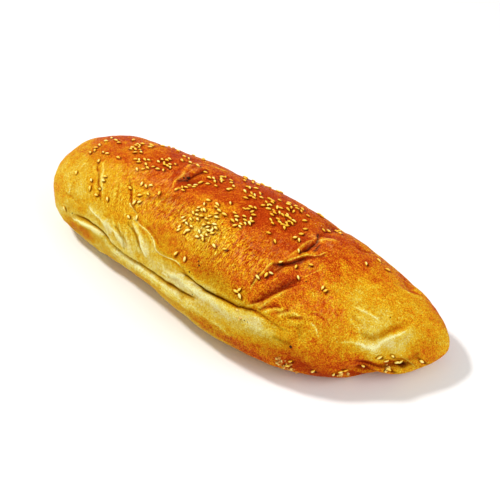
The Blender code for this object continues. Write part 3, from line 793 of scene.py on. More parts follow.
# %% List the dark lines
DARK_LINES = (
    # path, shade, width
    (((-94, -12), (-90, -19.6), (-84.1, -25.7), (-79, -31), (-75.3, -37), (-72.4, -40.3)), 0.42, 0.8),
    (((-62, -18), (-57.8, -23), (-53.4, -28), (-48.3, -31.6), (-43.9, -34.5), (-38.7, -37)), 0.42, 0.8),
    (((-47, -41.5), (-44.6, -43.6), (-38.7, -46.2), (-33.6, -50.4), (-29.5, -53.8), (-25, -57)),
      0.50, 0.8),
    (((-20, -47.4), (-12, -47.8), (0, -47)), 0.25, 1.0),
    (((-56, -49), (-50, -51.4), (-45.4, -55.6), (-43, -60.5)), 0.35, 0.9),
    (((-100, -54.2), (-91, -55.2), (-80.4, -56.4), (-71.4, -57.3), (-65.5, -59.7), (-57.5, -62),
      (-49.3, -63.4), (-43.6, -64.4), (-36, -65), (-26, -65.3), (-16.9, -65.6), (-8, -66.6),
      (4.4, -66.6), (13, -65), (23, -61)), 0.75, 0.8),
    (((2, -53), (8, -53.8), (18, -54.3), (23.4, -54.8), (33, -53.4), (44, -51.6), (49, -49.9),
      (55, -47.4), (60.5, -46.4)), 0.90, 0.8),
    (((59.6, -46.8), (63.9, -47.3), (68, -46.9), (71, -47.3), (74, -46.8)), 0.32, 1.0),
    # round the fold that crosses the loaf
    (((48, -37), (47.9, -33), (47.7, -28)), 0.70, 0.8),
    (((49.6, -21), (51.4, -17.6)), 0.40, 0.7),
    (((50.4, -20.2), (52.9, -17), (55.2, -14.2), (57.1, -11.6), (58.5, -9.2), (60, -6.2), (61.6, -3.6)),
      0.85, 1.1),
    (((61, -4), (63.2, -1.4), (65, 1.4), (66.4, 4.2), (67.2, 7)), 0.55, 0.8),
    (((62, -4), (58.6, -11.5), (55, -17), (52.6, -24)), 0.50, 2.0),
    (((57, -7), (56.6, -1), (57, 4), (57.4, 8.4), (57.6, 11)), 0.75, 1.6),
    (((60.3, 11.6), (60.9, 8), (60.8, 5), (60.6, 1)), 0.80, 0.7),
    (((53.4, 19), (54.4, 17), (56, 15), (57.4, 12.4), (57.8, 10)), 1.0, 1.0),
    # the second valley, the edge of the golden crust and the hollows behind it
    (((68, -19), (65, -22.5), (62.8, -26.5), (60, -31.5), (57, -37), (54.5, -42), (51, -47)),
      0.52, 2.6),
    (((55.6, -41.6), (56.4, -38.4), (58.6, -35), (61.4, -31.2), (62.8, -28.2), (65, -25.2),
      (68.4, -25.2)), 0.55, 1.1),
    (((56.4, -46.2), (58.9, -42.6), (61.5, -40.4), (64, -38.6), (67.4, -36.8)), 0.45, 1.2),
    (((65.2, -42), (67.2, -40), (69, -38.2), (72.4, -35.4)), 0.32, 1.1),
    (((71.6, -40.6), (75, -38.5), (79.4, -36.4)), 0.36, 1.3),
    (((69, -54), (74.2, -52.8), (79, -51.4)), 0.36, 1.8),
    (((78, -40), (80.5, -43), (81.5, -47)), 0.20, 2.0),
    # the tip
    (((104, -27), (112.5, -25), (117, -17), (120.5, -9)), 0.25, 2.2),
    (((108, -42), (117, -40), (125, -33), (131, -24)), 0.65, 1.6),
    (((124, -31), (129, -23.5), (133, -15)), 0.30, 1.4),
    # the blister, and soft wrinkles of the blunt half and the middle
    (((-34, -6), (-32, 2), (-30.5, 10), (-28, 18)), 0.75, 2.0),
    (((-43, -26), (-36, -22.5), (-29, -19.5), (-22, -13)), 0.28, 2.4),
    (((-17, -20), (-16, -26), (-17, -32)), 0.30, 0.9),
    (((22, -30), (21, -35), (20, -40)), 0.22, 0.9),
)
print(len(DARK_LINES), "dark lines")

# %% [markdown]
# ## Painted shade in hollows, painted sheen on the skin
#
# Where crust curls under, or two folds meet, a broad painted shade lies round
# the dark line. Elsewhere light streaks of painted sheen lie on the crust. Both
# are soft spots with a centre, a reach and an amount.

# %% List the places of painted shade and painted sheen
SOFT_SHADES = (
    # centre, reach, shade: broad painted shade where crust curls under or meets its fold, and on a few
    # duskier areas
    ((-14, -41), (20, 7), 0.22), ((17, -37), (13, 7), 0.30), ((-24, -23), (16, 12), 0.20),
    ((-2, -42), (3, 2.6), 0.30), ((-10, -52.6), (5, 2), 0.16), ((62, -28), (5, 6), 0.34),
    ((-106, -12), (26, 18), 0.15), ((-66, -8), (20, 14), 0.11), ((42, -16), (18, 16), 0.13),
    ((-29, 1), (7, 5.5), 0.60), ((-32, 2.5), (2.2, 2.4), 1.0), ((26, -46), (24, 7), 0.50),
    ((134, -12), (8, 10), 0.16), ((56, 3), (3, 7), 0.35), ((62, -27), (6, 8), 0.22),
    ((94, -62), (26, 9), 0.35), ((-92, -67), (16, 6), 0.28), ((40, -80), (36, 8), 0.25),
    ((114, -47), (9, 7), 0.30),
)
PAINTED_SHEENS = (
    # centre, reach, amount: where light streaks of painted sheen lie on the crust
    ((-77, -21), (9, 7), 1.3), ((-60, -11), (9, 6), 1.3), ((-38, -31), (7, 5), 0.7),
    ((-28, -24), (14, 11), 1.0), ((6, -28), (18, 12), 0.7), ((36, -24), (16, 11), 1.0),
    ((60, 14), (7, 8), 1.6), ((46, -8), (8, 8), 0.5), ((-44, -12), (8, 5), 0.6),
    ((-36, 2), (3, 11), 1.4), ((-43, -6), (6, 9), 0.7), ((-36, 18), (6, 8), 0.9),
    ((-50, -16), (7, 5), 0.6), ((-66, -20), (9, 8), 0.5), ((-104, -20), (14, 14), 0.5),
    ((84, -22), (16, 12), 0.5), ((66, -8), (8, 6), 0.6),
)
print(len(SOFT_SHADES), "dusky places and", len(PAINTED_SHEENS), "dry ones")

# %% [markdown]
# ## The rule of baking
#
# Each line below is one thing that a baker would say of this loaf. The seeds
# ask the same function how brown the crust is where they lie.

# %% Work out the paleness
CROWN_PALENESS = 0.19
UNDERSIDE_PALENESS = 0.36
PALE_LINE_SHARE = 0.5


def paleness_at(x, g):
    down = -g
    pale = np.full(x.shape, CROWN_PALENESS)
    # the front side pales downwards, less so where the loaf is widest
    pale += 0.25 * ease(4.0, 24.0, down) * (1.0 - 0.8 * bell(x - 66.0, 24.0))
    # the ledge over the split opened last
    ledge_reach = (1.0 - ease(62.0, 100.0, x)) * (0.45 + 0.55 * ease(-112.0, -78.0, x))
    pale += 0.31 * ease(41.0, 57.0, down) * ledge_reach
    # both ends are paler on top
    pale += 0.12 * ease(-60.0, -110.0, x) * ease(-25.0, 10.0, down)
    pale += 0.20 * ease(76.0, 112.0, x) * ease(-28.0, 0.0, down) * (1.0 - ease(28.0, 44.0, down))
    # the foot browned on the tray
    pale -= 0.12 * ease(68.0, 84.0, down)
    # the back pales downwards too
    pale += 0.17 * ease(30.0, 62.0, g) * (1.0 - 0.7 * ease(66.0, 84.0, g))
    for centre, reach, change in BAKED_PATCHES:
        pale += dome(x, g, centre, reach, change)
    pale += 0.06 * unevenness(x, g, 14.0, 11.0, 21) + 0.07 * unevenness(x, g, 6.0, 5.0, 22)
    bent_x, bent_g = wandering(x, g)
    # the pale lines make the crust a little paler here; the material adds their painted highlight
    for path, change, width in PALE_LINES:
        pale += ridge(bent_x, bent_g, path, PALE_LINE_SHARE * change, width, SHORT_ENDS)
    under = ease(92.0, 112.0, np.abs(g))
    return pale * (1.0 - under) + UNDERSIDE_PALENESS * under


paleness = paleness_at(place_x, place_g)
print("paleness from", round(float(paleness.min()), 2), "to", round(float(paleness.max()), 2))

# %% [markdown]
# ## Painted shade in folds, painted highlights on crests
#
# Deep in a fold the crust's colour is darkened with painted shade, and a crest
# gets a painted highlight. Both follow the shape, so they are worked out from
# it: the relief minus a blurred copy of itself is below zero in a fold and
# above zero on a crest. The painted shade of the dark lines and the dusky
# places is added to that of the folds.

# %% Find the folds and crests
BROAD_BLUR, FINE_BLUR = 30, 5
# painted shade in folds: its most, and the depth in mm over which it builds up
FOLD_SHADE_MOST, FOLD_DEPTH = 0.55, 1.1
# painted highlight on crests: its most, and the height in mm over which it builds up
CREST_HIGHLIGHT_MOST, CREST_RISE = 0.22, 0.7
FINE_HEIGHT = 0.16


def blurred(field, passes):
    """The field with every point evened out with its neighbours, that many times."""
    out = field.copy()
    for _ in range(passes):
        out[1:-1] = (out[:-2] + 2.0 * out[1:-1] + out[2:]) / 4.0
        wrapped = np.concatenate([out[:, -2:-1], out, out[:, 1:2]], axis=1)
        out = (wrapped[:, :-2] + 2.0 * wrapped[:, 1:-1] + wrapped[:, 2:]) / 4.0
    return out


def grown(height, most, scale):
    """From 0 on the level towards the most, as the height passes the scale."""
    return most * (1.0 - np.exp(-(np.clip(height, 0.0, None) / scale) ** 1.4))


stand_out = relief - blurred(relief, BROAD_BLUR)
# painted shade: the colour darkens in the folds, along the dark lines and in the dusky places
fold_shade = grown(-stand_out, FOLD_SHADE_MOST, FOLD_DEPTH)
bent_x, bent_g = wandering(place_x, place_g)
for path, shade, width in DARK_LINES:
    fold_shade = np.maximum(fold_shade, ridge(bent_x, bent_g, path, shade, width, SHORT_ENDS))
for centre, reach, shade in SOFT_SHADES:
    fold_shade = np.maximum(fold_shade, dome(place_x, place_g, centre, reach, shade))
# the painted shade is taken out of the soft fold on the far side of the tip, which is pale all through
fold_shade *= 1.0 - dome(place_x, place_g, (105, 27), (14, 18), 0.85)
# painted highlight on what stands out of the relief
crest_highlight = grown(stand_out, CREST_HIGHLIGHT_MOST, CREST_RISE)
# the finest relief, painted later as shade in small hollows and light on small bumps
fine_relief = np.clip((relief - blurred(relief, FINE_BLUR)) / FINE_HEIGHT, -1.0, 1.0)
# painted sheen: where light streaks are added to the colour
painted_sheen = np.zeros(place_x.shape)
for centre, reach, amount in PAINTED_SHEENS:
    painted_sheen += dome(place_x, place_g, centre, reach, amount)
print("deepest fold", round(float(stand_out.min()), 2), "mm")
print("highest crest", round(float(stand_out.max()), 2), "mm")

# %% [markdown]
# ## Crisp lines from distances
#
# A line half a millimetre wide is as thin as the mesh's faces, so painted on
# the points it would turn into a row of blots. A distance changes evenly from
# point to point and survives that: each point stores how far the nearest line
# is, with a sign for its side, and the material draws the line where the
# distance crosses zero. Far from the line its strength fades, because halfway
# to the next line the sign may jump.

# %% Measure to the nearest line
PALE_THINNESS, SLIT_THINNESS = 0.5, 0.36
LOOK_WIDTHS = 8.0
FAR_AWAY = 9.0
GONE_AT, WHOLE_AT = 4.5, 2.5


def nearest_lines(lines, thinness):
    """Signed distance to the nearest line in line widths, and how strong that line is."""
    quotient, strength = np.full(bent_x.shape, FAR_AWAY), np.zeros(bent_x.shape)
    for path, amount, width in lines:
        gap, place, near = along_path(bent_x, bent_g, path, LOOK_WIDTHS * width)
        gap = gap / (thinness * width)
        nearer = np.abs(gap) < np.abs(quotient[near])
        quotient[near] = np.where(nearer, gap, quotient[near])
        strength[near] = np.where(nearer, amount * fade(place, SHORT_ENDS), strength[near])
    return quotient, strength * ease(GONE_AT, WHOLE_AT, np.abs(quotient))


crest_gap, crest_line = nearest_lines(PALE_LINES, PALE_THINNESS)
slit_gap, slit_line = nearest_lines(DARK_LINES, SLIT_THINNESS)
print("points on a crest line:", int((crest_line > 0.05).sum()))
print("points on a slit:", int((slit_line > 0.05).sum()))

# %% [markdown]
# ## Fields on the mesh
#
# A vertex attribute keeps one number for every point, and the material reads
# it by name. It needs no unwrapping and no picture, and it stays with the mesh
# wherever that goes. The places along and round the loaf are stored as well,
# so that streaks can follow the girth.

# %% Store the fields on the mesh
def store(mesh, name, values, at_ends):
    """A number for each point of the grid, and one for each end point."""
    layer = mesh.attributes.new(name, "FLOAT", "POINT")
    data = np.concatenate([values[:, :-1].ravel(), at_ends])
    layer.data.foreach_set("value", data.astype(np.float32))


def store_places(mesh, x, g):
    """Where each point lies along and round the loaf, in metres."""
    layer = mesh.attributes.new("place", "FLOAT_VECTOR", "POINT")
    flat = np.stack([x[:, :-1].ravel(), g[:, :-1].ravel(), np.zeros(x[:, :-1].size)], axis=-1) / 1000.0
    flat = np.vstack([flat, [[-LENGTH / 2, 0, 0], [LENGTH / 2, 0, 0]]])
    layer.data.foreach_set("vector", flat.astype(np.float32).ravel())


NOTHING = (0.0, 0.0)
for name, values, at_ends in (
        ("paleness", paleness, (0.45, 0.5)),
        ("fold_shade", fold_shade, NOTHING),
        ("crest_highlight", crest_highlight, NOTHING),
        ("painted_sheen", painted_sheen, NOTHING),
        ("fine_relief", fine_relief, NOTHING),
        ("stretched", stretched_at(place_x, place_g), NOTHING),
        ("lively", lively_at(place_x, place_g), (0.6, 0.5)),
        ("mottled", mottled_at(place_x, place_g), (0.8, 1.0)),
        ("crest_gap", crest_gap, (FAR_AWAY, FAR_AWAY)),
        ("crest_line", crest_line, NOTHING),
        ("slit_gap", slit_gap, (FAR_AWAY, FAR_AWAY)),
        ("slit_line", slit_line, NOTHING)):
    store(crust_mesh, name, values, at_ends)
store_places(crust_mesh, place_x, place_g)
print("attributes:", [a.name for a in crust_mesh.attributes if not a.name.startswith(".")])

# %% [markdown]
# ## A grain that all baked things share
#
# Crust, seeds and crumbs are all mottled, each at its own scale. A node group
# holds that mottling once. It reads the object's own coordinates and gives a
# number round zero, to be added to a paleness or used as a height. Small
# helpers keep the node trees short.

# %% Build the shared grain group
def add_node(tree, kind, **values):
    node = tree.nodes.new(kind)
    for name, value in values.items():
        setattr(node, name, value)
    return node


def feed(tree, socket, value):
    """Give an input socket a number, a colour or another node's output."""
    if isinstance(value, tuple):
        socket.default_value = (*value, 1.0)
    elif isinstance(value, (int, float)):
        socket.default_value = value
    else:
        tree.links.new(value, socket)


def math_node(tree, operation, first, second):
    node = add_node(tree, "ShaderNodeMath", operation=operation)
    feed(tree, node.inputs[0], first)
    feed(tree, node.inputs[1], second)
    return node.outputs[0]


def scaled(tree, value, factor):
    return math_node(tree, "MULTIPLY", value, factor)


def added(tree, first, *others):
    for other in others:
        first = math_node(tree, "ADD", first, other)
    return first


def noise_node(tree, vector, scale, detail, roughness):
    node = add_node(tree, "ShaderNodeTexNoise")
    for name, value in (("Vector", vector), ("Scale", scale), ("Detail", detail), ("Roughness", roughness)):
        feed(tree, node.inputs[name], value)
    return node.outputs["Fac"]


def build_grain_group():
    group = bpy.data.node_groups.new("baked_grain", "ShaderNodeTree")
    face = group.interface
    face.new_socket("Scale", in_out="INPUT", socket_type="NodeSocketFloat").default_value = 400.0
    face.new_socket("Strength", in_out="INPUT", socket_type="NodeSocketFloat").default_value = 0.1
    face.new_socket("Change", in_out="OUTPUT", socket_type="NodeSocketFloat")
    inside = add_node(group, "NodeGroupInput")
    outside = add_node(group, "NodeGroupOutput")
    coordinates = add_node(group, "ShaderNodeTexCoord")
    cloud = noise_node(group, coordinates.outputs["Object"], inside.outputs["Scale"], 1.6, 0.5)
    centred = math_node(group, "SUBTRACT", cloud, 0.5)
    group.links.new(scaled(group, centred, inside.outputs["Strength"]), outside.inputs["Change"])
    return group


grain_group = build_grain_group()


def grain(tree, scale, strength):
    """Mottling with about that many spots to a metre, half the strength up and down."""
    node = add_node(tree, "ShaderNodeGroup", node_tree=grain_group)
    node.inputs["Scale"].default_value = scale
    node.inputs["Strength"].default_value = strength
    return node.outputs["Change"]


print("group sockets:", [item.name for item in grain_group.interface.items_tree])

# %% [markdown]
# ## The colours of baking
#
# Paleness runs through one colour ramp from dark brown over orange and gold
# to cream, so a place can only take a colour that baking gives. Mixing colours
# freely by hand would soon give greys and greens that no oven makes.

# %% Write the ramp of the crust
CRUST_COLOURS = (
    # place on the ramp, linear red, green, blue
    (0.00, (0.46, 0.045, 0.003)),
    (0.13, (0.62, 0.107, 0.005)),
    (0.27, (0.67, 0.183, 0.005)),
    (0.44, (0.70, 0.293, 0.006)),
    (0.62, (0.73, 0.413, 0.012)),
    (0.80, (0.75, 0.545, 0.080)),
    (0.97, (0.80, 0.690, 0.300)),
)


def colour_ramp(tree, value, stops):
    node = add_node(tree, "ShaderNodeValToRGB")
    ramp = node.color_ramp
    while len(ramp.elements) < len(stops):
        ramp.elements.new(0.5)
    for element, (place, colour) in zip(ramp.elements, stops):
        element.position = place
        element.color = (*colour, 1.0)
    tree.links.new(value, node.inputs["Fac"])
    return node.outputs["Color"]


def mix_colour(tree, factor, first, second, blend="MIX"):
    node = add_node(tree, "ShaderNodeMix", data_type="RGBA", blend_type=blend)
    for socket, value in ((node.inputs[0], factor), (node.inputs[6], first), (node.inputs[7], second)):
        feed(tree, socket, value)
    return node.outputs[2]


def new_material(name):
    material = bpy.data.materials.new(name)
    material.use_nodes = True
    tree = material.node_tree
    return material, tree, tree.nodes["Principled BSDF"]


print("colours on the crust's ramp:", len(CRUST_COLOURS))

# %% [markdown]
# ## The crust's fields in the material
#
# The material starts by reading what was stored on the mesh. Streaks run round
# the girth, so they read the stored places and not the object's coordinates. A
# bell over each signed distance draws the crisp lines.

# %% Read the crust's fields
STREAK_LEAN = -0.25
BELL_BASE = 0.37    # about 1 / e, so that this number to the power of gap * gap is a bell


def attribute(tree, name, output="Fac"):
    return add_node(tree, "ShaderNodeAttribute", attribute_name=name).outputs[output]


def smooth_step(tree, value, low, high):
    """0 at the low number and 1 at the high one. The low number may be the larger."""
    node = add_node(tree, "ShaderNodeMapRange", interpolation_type="SMOOTHSTEP")
    node.inputs["From Min"].default_value = low
    node.inputs["From Max"].default_value = high
    tree.links.new(value, node.inputs["Value"])
    return node.outputs["Result"]


def thin_line(tree, gap_name, line_name):
    """A bell of height 1 over the line, times its strength."""
    gap = attribute(tree, gap_name)
    line_bell = math_node(tree, "POWER", BELL_BASE, scaled(tree, gap, gap))
    return scaled(tree, line_bell, attribute(tree, line_name))


def streaky(tree, places, across, around, detail=1.5):
    """Noise drawn out round the girth, as a stretched skin is."""
    stretch = add_node(tree, "ShaderNodeMapping")
    stretch.inputs["Scale"].default_value = (across, around, 1.0)
    stretch.inputs["Rotation"].default_value = (0.0, 0.0, STREAK_LEAN)
    tree.links.new(places, stretch.inputs["Vector"])
    cloud = noise_node(tree, stretch.outputs["Vector"], 1.0, detail, 0.5)
    return math_node(tree, "SUBTRACT", cloud, 0.5)


crust_material, tree, shader = new_material("baked_crust")
place = attribute(tree, "place", "Vector")
# painted shade in folds and round the seeds, painted highlights on crests and painted sheen are read with
# the other fields
pale, fold, crest = (attribute(tree, name) for name in ("paleness", "fold_shade", "crest_highlight"))
rim, fine, sheen_amount = (attribute(tree, name) for name in ("seed_shadow", "fine_relief", "painted_sheen"))
stretched, lively, mottled = (attribute(tree, name) for name in ("stretched", "lively", "mottled"))
crest_thin = thin_line(tree, "crest_gap", "crest_line")
slit_thin = thin_line(tree, "slit_gap", "slit_line")
fine_streaks = scaled(tree, streaky(tree, place, 1700.0, 380.0), stretched)
print("crust nodes so far:", len(tree.nodes))

# %% [markdown]
# ## Mottled skin
#
# Grain at four scales and fine streaks are added to the paleness before the
# ramp, and so shift hue and brightness together, as uneven browning does. The
# finest relief is added too, as painted shade in small hollows and painted
# light on small bumps. The palest dough is calmer than the rest. Small brown
# freckles show only where the skin is pale enough.

# %% Mottle the paleness
RAMP_FROM, RAMP_LENGTH = 0.10, 0.80
# scale and strength: slow clouds, patches, spots and specks
CRUST_GRAINS = ((45.0, 0.20), (170.0, 0.36), (620.0, 0.42), (1400.0, 0.85))
# the finest relief adds painted shade in small hollows and painted light on small bumps
STREAK_CHANGE, RELIEF_CHANGE = 1.30, 0.10
CALMEST = 0.35
# painted shade in folds and round the seeds also shifts the paleness browner, and the crest lines shift it
# paler
FOLD_CHANGE, SEED_SHADOW_CHANGE, CREST_CHANGE, FRECKLE_CHANGE = -0.16, -0.10, 0.8, -0.15
mottle = added(
    tree, *(grain(tree, scale, strength) for scale, strength in CRUST_GRAINS),
    scaled(tree, fine_streaks, STREAK_CHANGE), scaled(tree, fine, RELIEF_CHANGE))
calm_when_pale = scaled(tree, smooth_step(tree, pale, 0.92, 0.32), 1.0 - CALMEST)
calm_when_pale = added(tree, calm_when_pale, CALMEST)
lively = scaled(tree, lively, calm_when_pale)
mottled = scaled(tree, mottled, calm_when_pale)
freckles = smooth_step(tree, grain(tree, 760.0, 1.0), 0.10, 0.24)
freckles = scaled(tree, freckles, smooth_step(tree, pale, 0.22, 0.42))
pale = added(
    tree, pale, scaled(tree, mottle, mottled), scaled(tree, fold, FOLD_CHANGE),
    scaled(tree, rim, SEED_SHADOW_CHANGE), scaled(tree, crest_thin, CREST_CHANGE),
    scaled(tree, freckles, FRECKLE_CHANGE))
on_ramp = math_node(tree, "DIVIDE", math_node(tree, "SUBTRACT", pale, RAMP_FROM), RAMP_LENGTH)
colour = colour_ramp(tree, on_ramp, CRUST_COLOURS)
print("crust nodes so far:", len(tree.nodes))

# %% [markdown]
# ## Painted light and shade in the skin
#
# A speckle makes the finest spots lighter and darker. It changes blue most
# and red least, because browning takes the blue away first. Folds, slits and
# the crust round each seed are darkened with painted shade by multiplying,
# which keeps the skin's pattern, and painted highlights on the crests are added
# on top: tan on dark crust and cream on pale. Last come the light streaks of
# painted sheen.

# %% Add painted light and shade to the crust's colour
SPECKLE_COLOUR = (0.75, 1.45, 2.2)
FOLD_SHADE_COLOUR, SLIT_SHADE_COLOUR, SEED_SHADOW_COLOUR = (0.44, 0.34, 0.20), (0.30, 0.20, 0.10), (0.20, 0.085, 0.015)
# colours added on top: a painted highlight on crests, and painted sheen
CREST_HIGHLIGHT_COLOUR, SHEEN_COLOUR = (0.08, 0.055, 0.004), (0.12, 0.096, 0.036)
TAN_CREST, CREAM_CREST = (0.42, 0.22, 0.05), (0.55, 0.50, 0.14)
# the finest relief's share here is painted light on small bumps and painted shade in small hollows
STREAK_LIGHT, RELIEF_LIGHT, FRECKLE_SHADE, PATCH_SHARE = 2.8, 0.12, -0.08, 0.25
speckle = added(
    tree, grain(tree, 1450.0, 2.2), grain(tree, 330.0, 0.3), scaled(tree, fine_streaks, STREAK_LIGHT))
speckle = added(
    tree, scaled(tree, speckle, lively), scaled(tree, fine, RELIEF_LIGHT),
    scaled(tree, freckles, FRECKLE_SHADE))
speckled = add_node(tree, "ShaderNodeVectorMath", operation="MULTIPLY_ADD")
tree.links.new(speckle, speckled.inputs[0])
speckled.inputs[1].default_value = SPECKLE_COLOUR
speckled.inputs[2].default_value = (1.0, 1.0, 1.0)
colour = mix_colour(tree, 1.0, colour, speckled.outputs[0], "MULTIPLY")
# painted shade: folds, slits and the shadow round each seed darken the colour
for factor, shade_colour in ((fold, FOLD_SHADE_COLOUR), (slit_thin, SLIT_SHADE_COLOUR), (rim, SEED_SHADOW_COLOUR)):
    colour = mix_colour(tree, factor, colour, shade_colour, "MULTIPLY")
# painted highlight along the crest lines: tan on dark crust, cream on pale
crest_highlight_tint = mix_colour(tree, smooth_step(tree, pale, 0.20, 0.70), TAN_CREST, CREAM_CREST)
# painted sheen: light streaks and a few patches, where the sheen field says
sheen_streaks = smooth_step(tree, streaky(tree, place, 800.0, 170.0, 3.0), 0.0, 0.16)
sheen_patches = smooth_step(tree, grain(tree, 260.0, 1.0), 0.0, 0.12)
sheen = added(tree, sheen_streaks, scaled(tree, sheen_patches, PATCH_SHARE))
sheen = scaled(tree, sheen, sheen_amount)
# painted highlights on the crests and the painted sheen are added on top
for factor, light in ((crest, CREST_HIGHLIGHT_COLOUR), (crest_thin, crest_highlight_tint), (sheen, SHEEN_COLOUR)):
    colour = mix_colour(tree, factor, colour, light, "ADD")
tree.links.new(colour, shader.inputs["Base Color"])
print("crust nodes so far:", len(tree.nodes))

# %% [markdown]
# ## Gloss and fine bumps
#
# Bread has hardly any gloss, so the specular level is close to none, and the
# pale dough is a little rougher than the brown top. Pores, wrinkles round the
# girth and the crisp lines are too small for the mesh, and a Bump node shows
# them with a height of a millimetre at most.

# %% Add the crust's gloss and bumps
rough = added(tree, scaled(tree, pale, 0.34), 0.36, grain(tree, 300.0, 0.20))
tree.links.new(rough, shader.inputs["Roughness"])
shader.inputs["Specular IOR Level"].default_value = 0.01
coordinates = add_node(tree, "ShaderNodeTexCoord").outputs["Object"]
wrinkles = scaled(tree, streaky(tree, place, 620.0, 90.0), stretched)
pores = noise_node(tree, coordinates, 1700.0, 3.0, 0.6)
swellings = noise_node(tree, coordinates, 260.0, 2.0, 0.5)
# each field, and how much it adds to the height
BUMPS = (
    (pores, 0.6), (swellings, 0.5), (wrinkles, 1.0), (fine_streaks, 0.5), (sheen_streaks, 0.15),
    (crest_thin, 0.6), (slit_thin, -0.35),
)
height = added(tree, *(scaled(tree, field, amount) for field, amount in BUMPS))
bump = add_node(tree, "ShaderNodeBump")
bump.inputs["Strength"].default_value = 0.8
bump.inputs["Distance"].default_value = 0.0010
tree.links.new(height, bump.inputs["Height"])
tree.links.new(bump.outputs["Normal"], shader.inputs["Normal"])
crust_mesh.materials.append(crust_material)
print("crust material has", len(tree.links), "links")

# %% [markdown]
# ## One sesame seed
#
# A hulled sesame seed is a flat drop about three millimetres long. It is made
# once, from a stretched sphere whose far end is narrowed, and a hundred faces
# are plenty for something so small. An attribute says how high up the seed
# each point lies, so that its finish can be light on top and brown where it
# meets the crust: painted light and shade, along with the toasting of its edges.

# %% Model the seed
SEED_LENGTH = 0.0031
SEED_WIDTH = 0.0015
SEED_THICKNESS = 0.0013
SEED_TAPER = 0.42


def seed_object():
    mesh = bmesh.new()
    bmesh.ops.create_uvsphere(mesh, u_segments=12, v_segments=8, radius=0.5)
    for vert in mesh.verts:
        lengthwise, across, up = vert.co.z, vert.co.x, vert.co.y
        narrowing = 1.0 - SEED_TAPER * ease(-0.1, 0.5, lengthwise)
        thinning = 0.7 + 0.3 * narrowing
        vert.co = (lengthwise * SEED_LENGTH, across * SEED_WIDTH * narrowing,
                   up * SEED_THICKNESS * thinning)
    bmesh.ops.recalc_face_normals(mesh, faces=mesh.faces[:])
    data = bpy.data.meshes.new("one_seed")
    mesh.to_mesh(data)
    mesh.free()
    data.shade_smooth()
    # how high up the seed each point lies, for painted light on top and painted shade at the foot
    upness = data.attributes.new("upness", "FLOAT", "POINT")
    upness.data.foreach_set("value", [2.0 * vert.co.z / SEED_THICKNESS for vert in data.vertices])
    return bpy.data.objects.new("one_seed", data)


one_seed = seed_object()
print("seed faces:", len(one_seed.data.polygons))

# %% [markdown]
# ## Where the seeds fall
#
# Seeds thrown by hand land in patches. Each patch has a centre, a reach and a
# count, and a seeded random draw gives every seed its place, turn and size.
# The first of each patch are those fused to the solid model, and the rest
# fill in round them. Seeds that lie apart have places of their own.

# %% List the patches of seeds
SPRINKLINGS = (
    # centre (x, g), reach (x, g), in mm, and the count
    ((-81, 8), (5, 6), 12), ((-71, 0), (5, 5), 8), ((-61, -4), (7, 5), 10), ((-60, -10), (6, 2), 5),
    ((-50, 2), (5, 6), 12), ((-45, 18), (6, 5), 8), ((-46, -22), (4, 7), 9), ((-46, -41), (2, 2), 3),
    ((-14, 14), (7, 5), 10), ((-24, -5), (4, 5), 10), ((-13, 4), (8, 2), 8), ((8, 16), (5, 6), 12),
    ((-4, -21), (4, 10), 20), ((7, -24), (5, 11), 26), ((17, -11), (6, 4), 9), ((7, -2), (3, 2), 3),
    ((22, -7), (4, 5), 10), ((23, -27), (1.5, 3), 4), ((25, 16), (8, 8), 20), ((33, 8), (8, 6), 16),
    ((35, 22), (9, 8), 10), ((122, -31), (5, 4), 8), ((103, -56), (4, 3), 6), ((79, -66), (3, 3), 6),
    ((-95, -8), (12, 12), 7), ((-80, -30), (12, 8), 6), ((62, -2), (22, 18), 8), ((87, 20), (8, 9), 6),
    ((-60, 30), (18, 14), 16), ((0, 36), (20, 14), 18), ((44, 36), (16, 12), 10),
    ((30, 60), (50, 10), 8),
)
LOOSE_SPRINKLINGS = (
    # the same, for seeds that only this model has
    ((-6, -24), (6, 12), 16), ((8, -26), (5, 11), 10), ((-78, 10), (7, 8), 8), ((-52, 2), (8, 8), 8),
    ((20, -2), (9, 8), 14), ((30, 10), (12, 8), 14), ((-12, 10), (12, 8), 10), ((8, 14), (7, 8), 8),
    ((4, -10), (10, 4), 8), ((-100, 2), (10, 10), 5),
)
SINGLE_SEEDS = (
    # places (x, g) of seeds that lie apart from the patches
    (-105.8, -10.7), (-104, -8.8), (-97, -6.7), (-92.5, -8), (-93.3, -15.7), (-81.3, -8.3),
    (-91.7, 14.2), (-108.3, 10.8), (-100.4, 8), (-103.3, -27.5), (-85.4, -34.2), (-77.5, -36.3),
    (-68, -36), (-105.4, -52.5), (-56.7, -23.8), (-51.5, -18.3), (-47, -30.4), (-43.8, -29.2),
    (-40, -38), (-35.8, -18.8), (-78, -26.7), (-35.8, 16.3), (-27.5, 14.2), (-28.8, -10.8),
    (-21.7, 3.3), (-27, -6.7), (-25.8, -5.8), (-23, -4.6), (16.7, 1.3), (19.2, 0.8), (12.5, 11.3),
    (16.7, -30.4), (22.5, -4.2), (-2.5, -45.4), (4.2, -45.4), (36.3, -5), (42, -7.7), (48.8, 9.2),
    (48.3, 3), (52, -25), (41.3, -44.2), (65.8, -7.5), (78.4, -15.8), (80.6, -16.6), (47.9, -31.2),
    (43, -42.6), (44.6, -45.2), (60.6, -13.5), (50.8, -27.5), (85, 16.3), (87, 27.5), (27, 26.5),
    (29, 25), (31, 27.5), (33.5, 27), (36, 25.6), (31, 22.5), (33.8, 21.4), (22, 12), (20, 9.6),
    (24.4, 10.6), (26.5, 15.5), (29.2, 17.7), (35.4, 6.6), (39.4, 7.9), (47.4, 14.2), (-1.3, 28),
    (-9.6, 33.5), (133, -20), (125.8, -32.5), (117.5, -31.7), (122.5, -37.5), (127, -29), (105, -53),
    (100, -58.3), (90.8, -62.5), (79.6, -63.3), (113, -44),
)
print("patches of seeds:", len(SPRINKLINGS) + len(LOOSE_SPRINKLINGS))

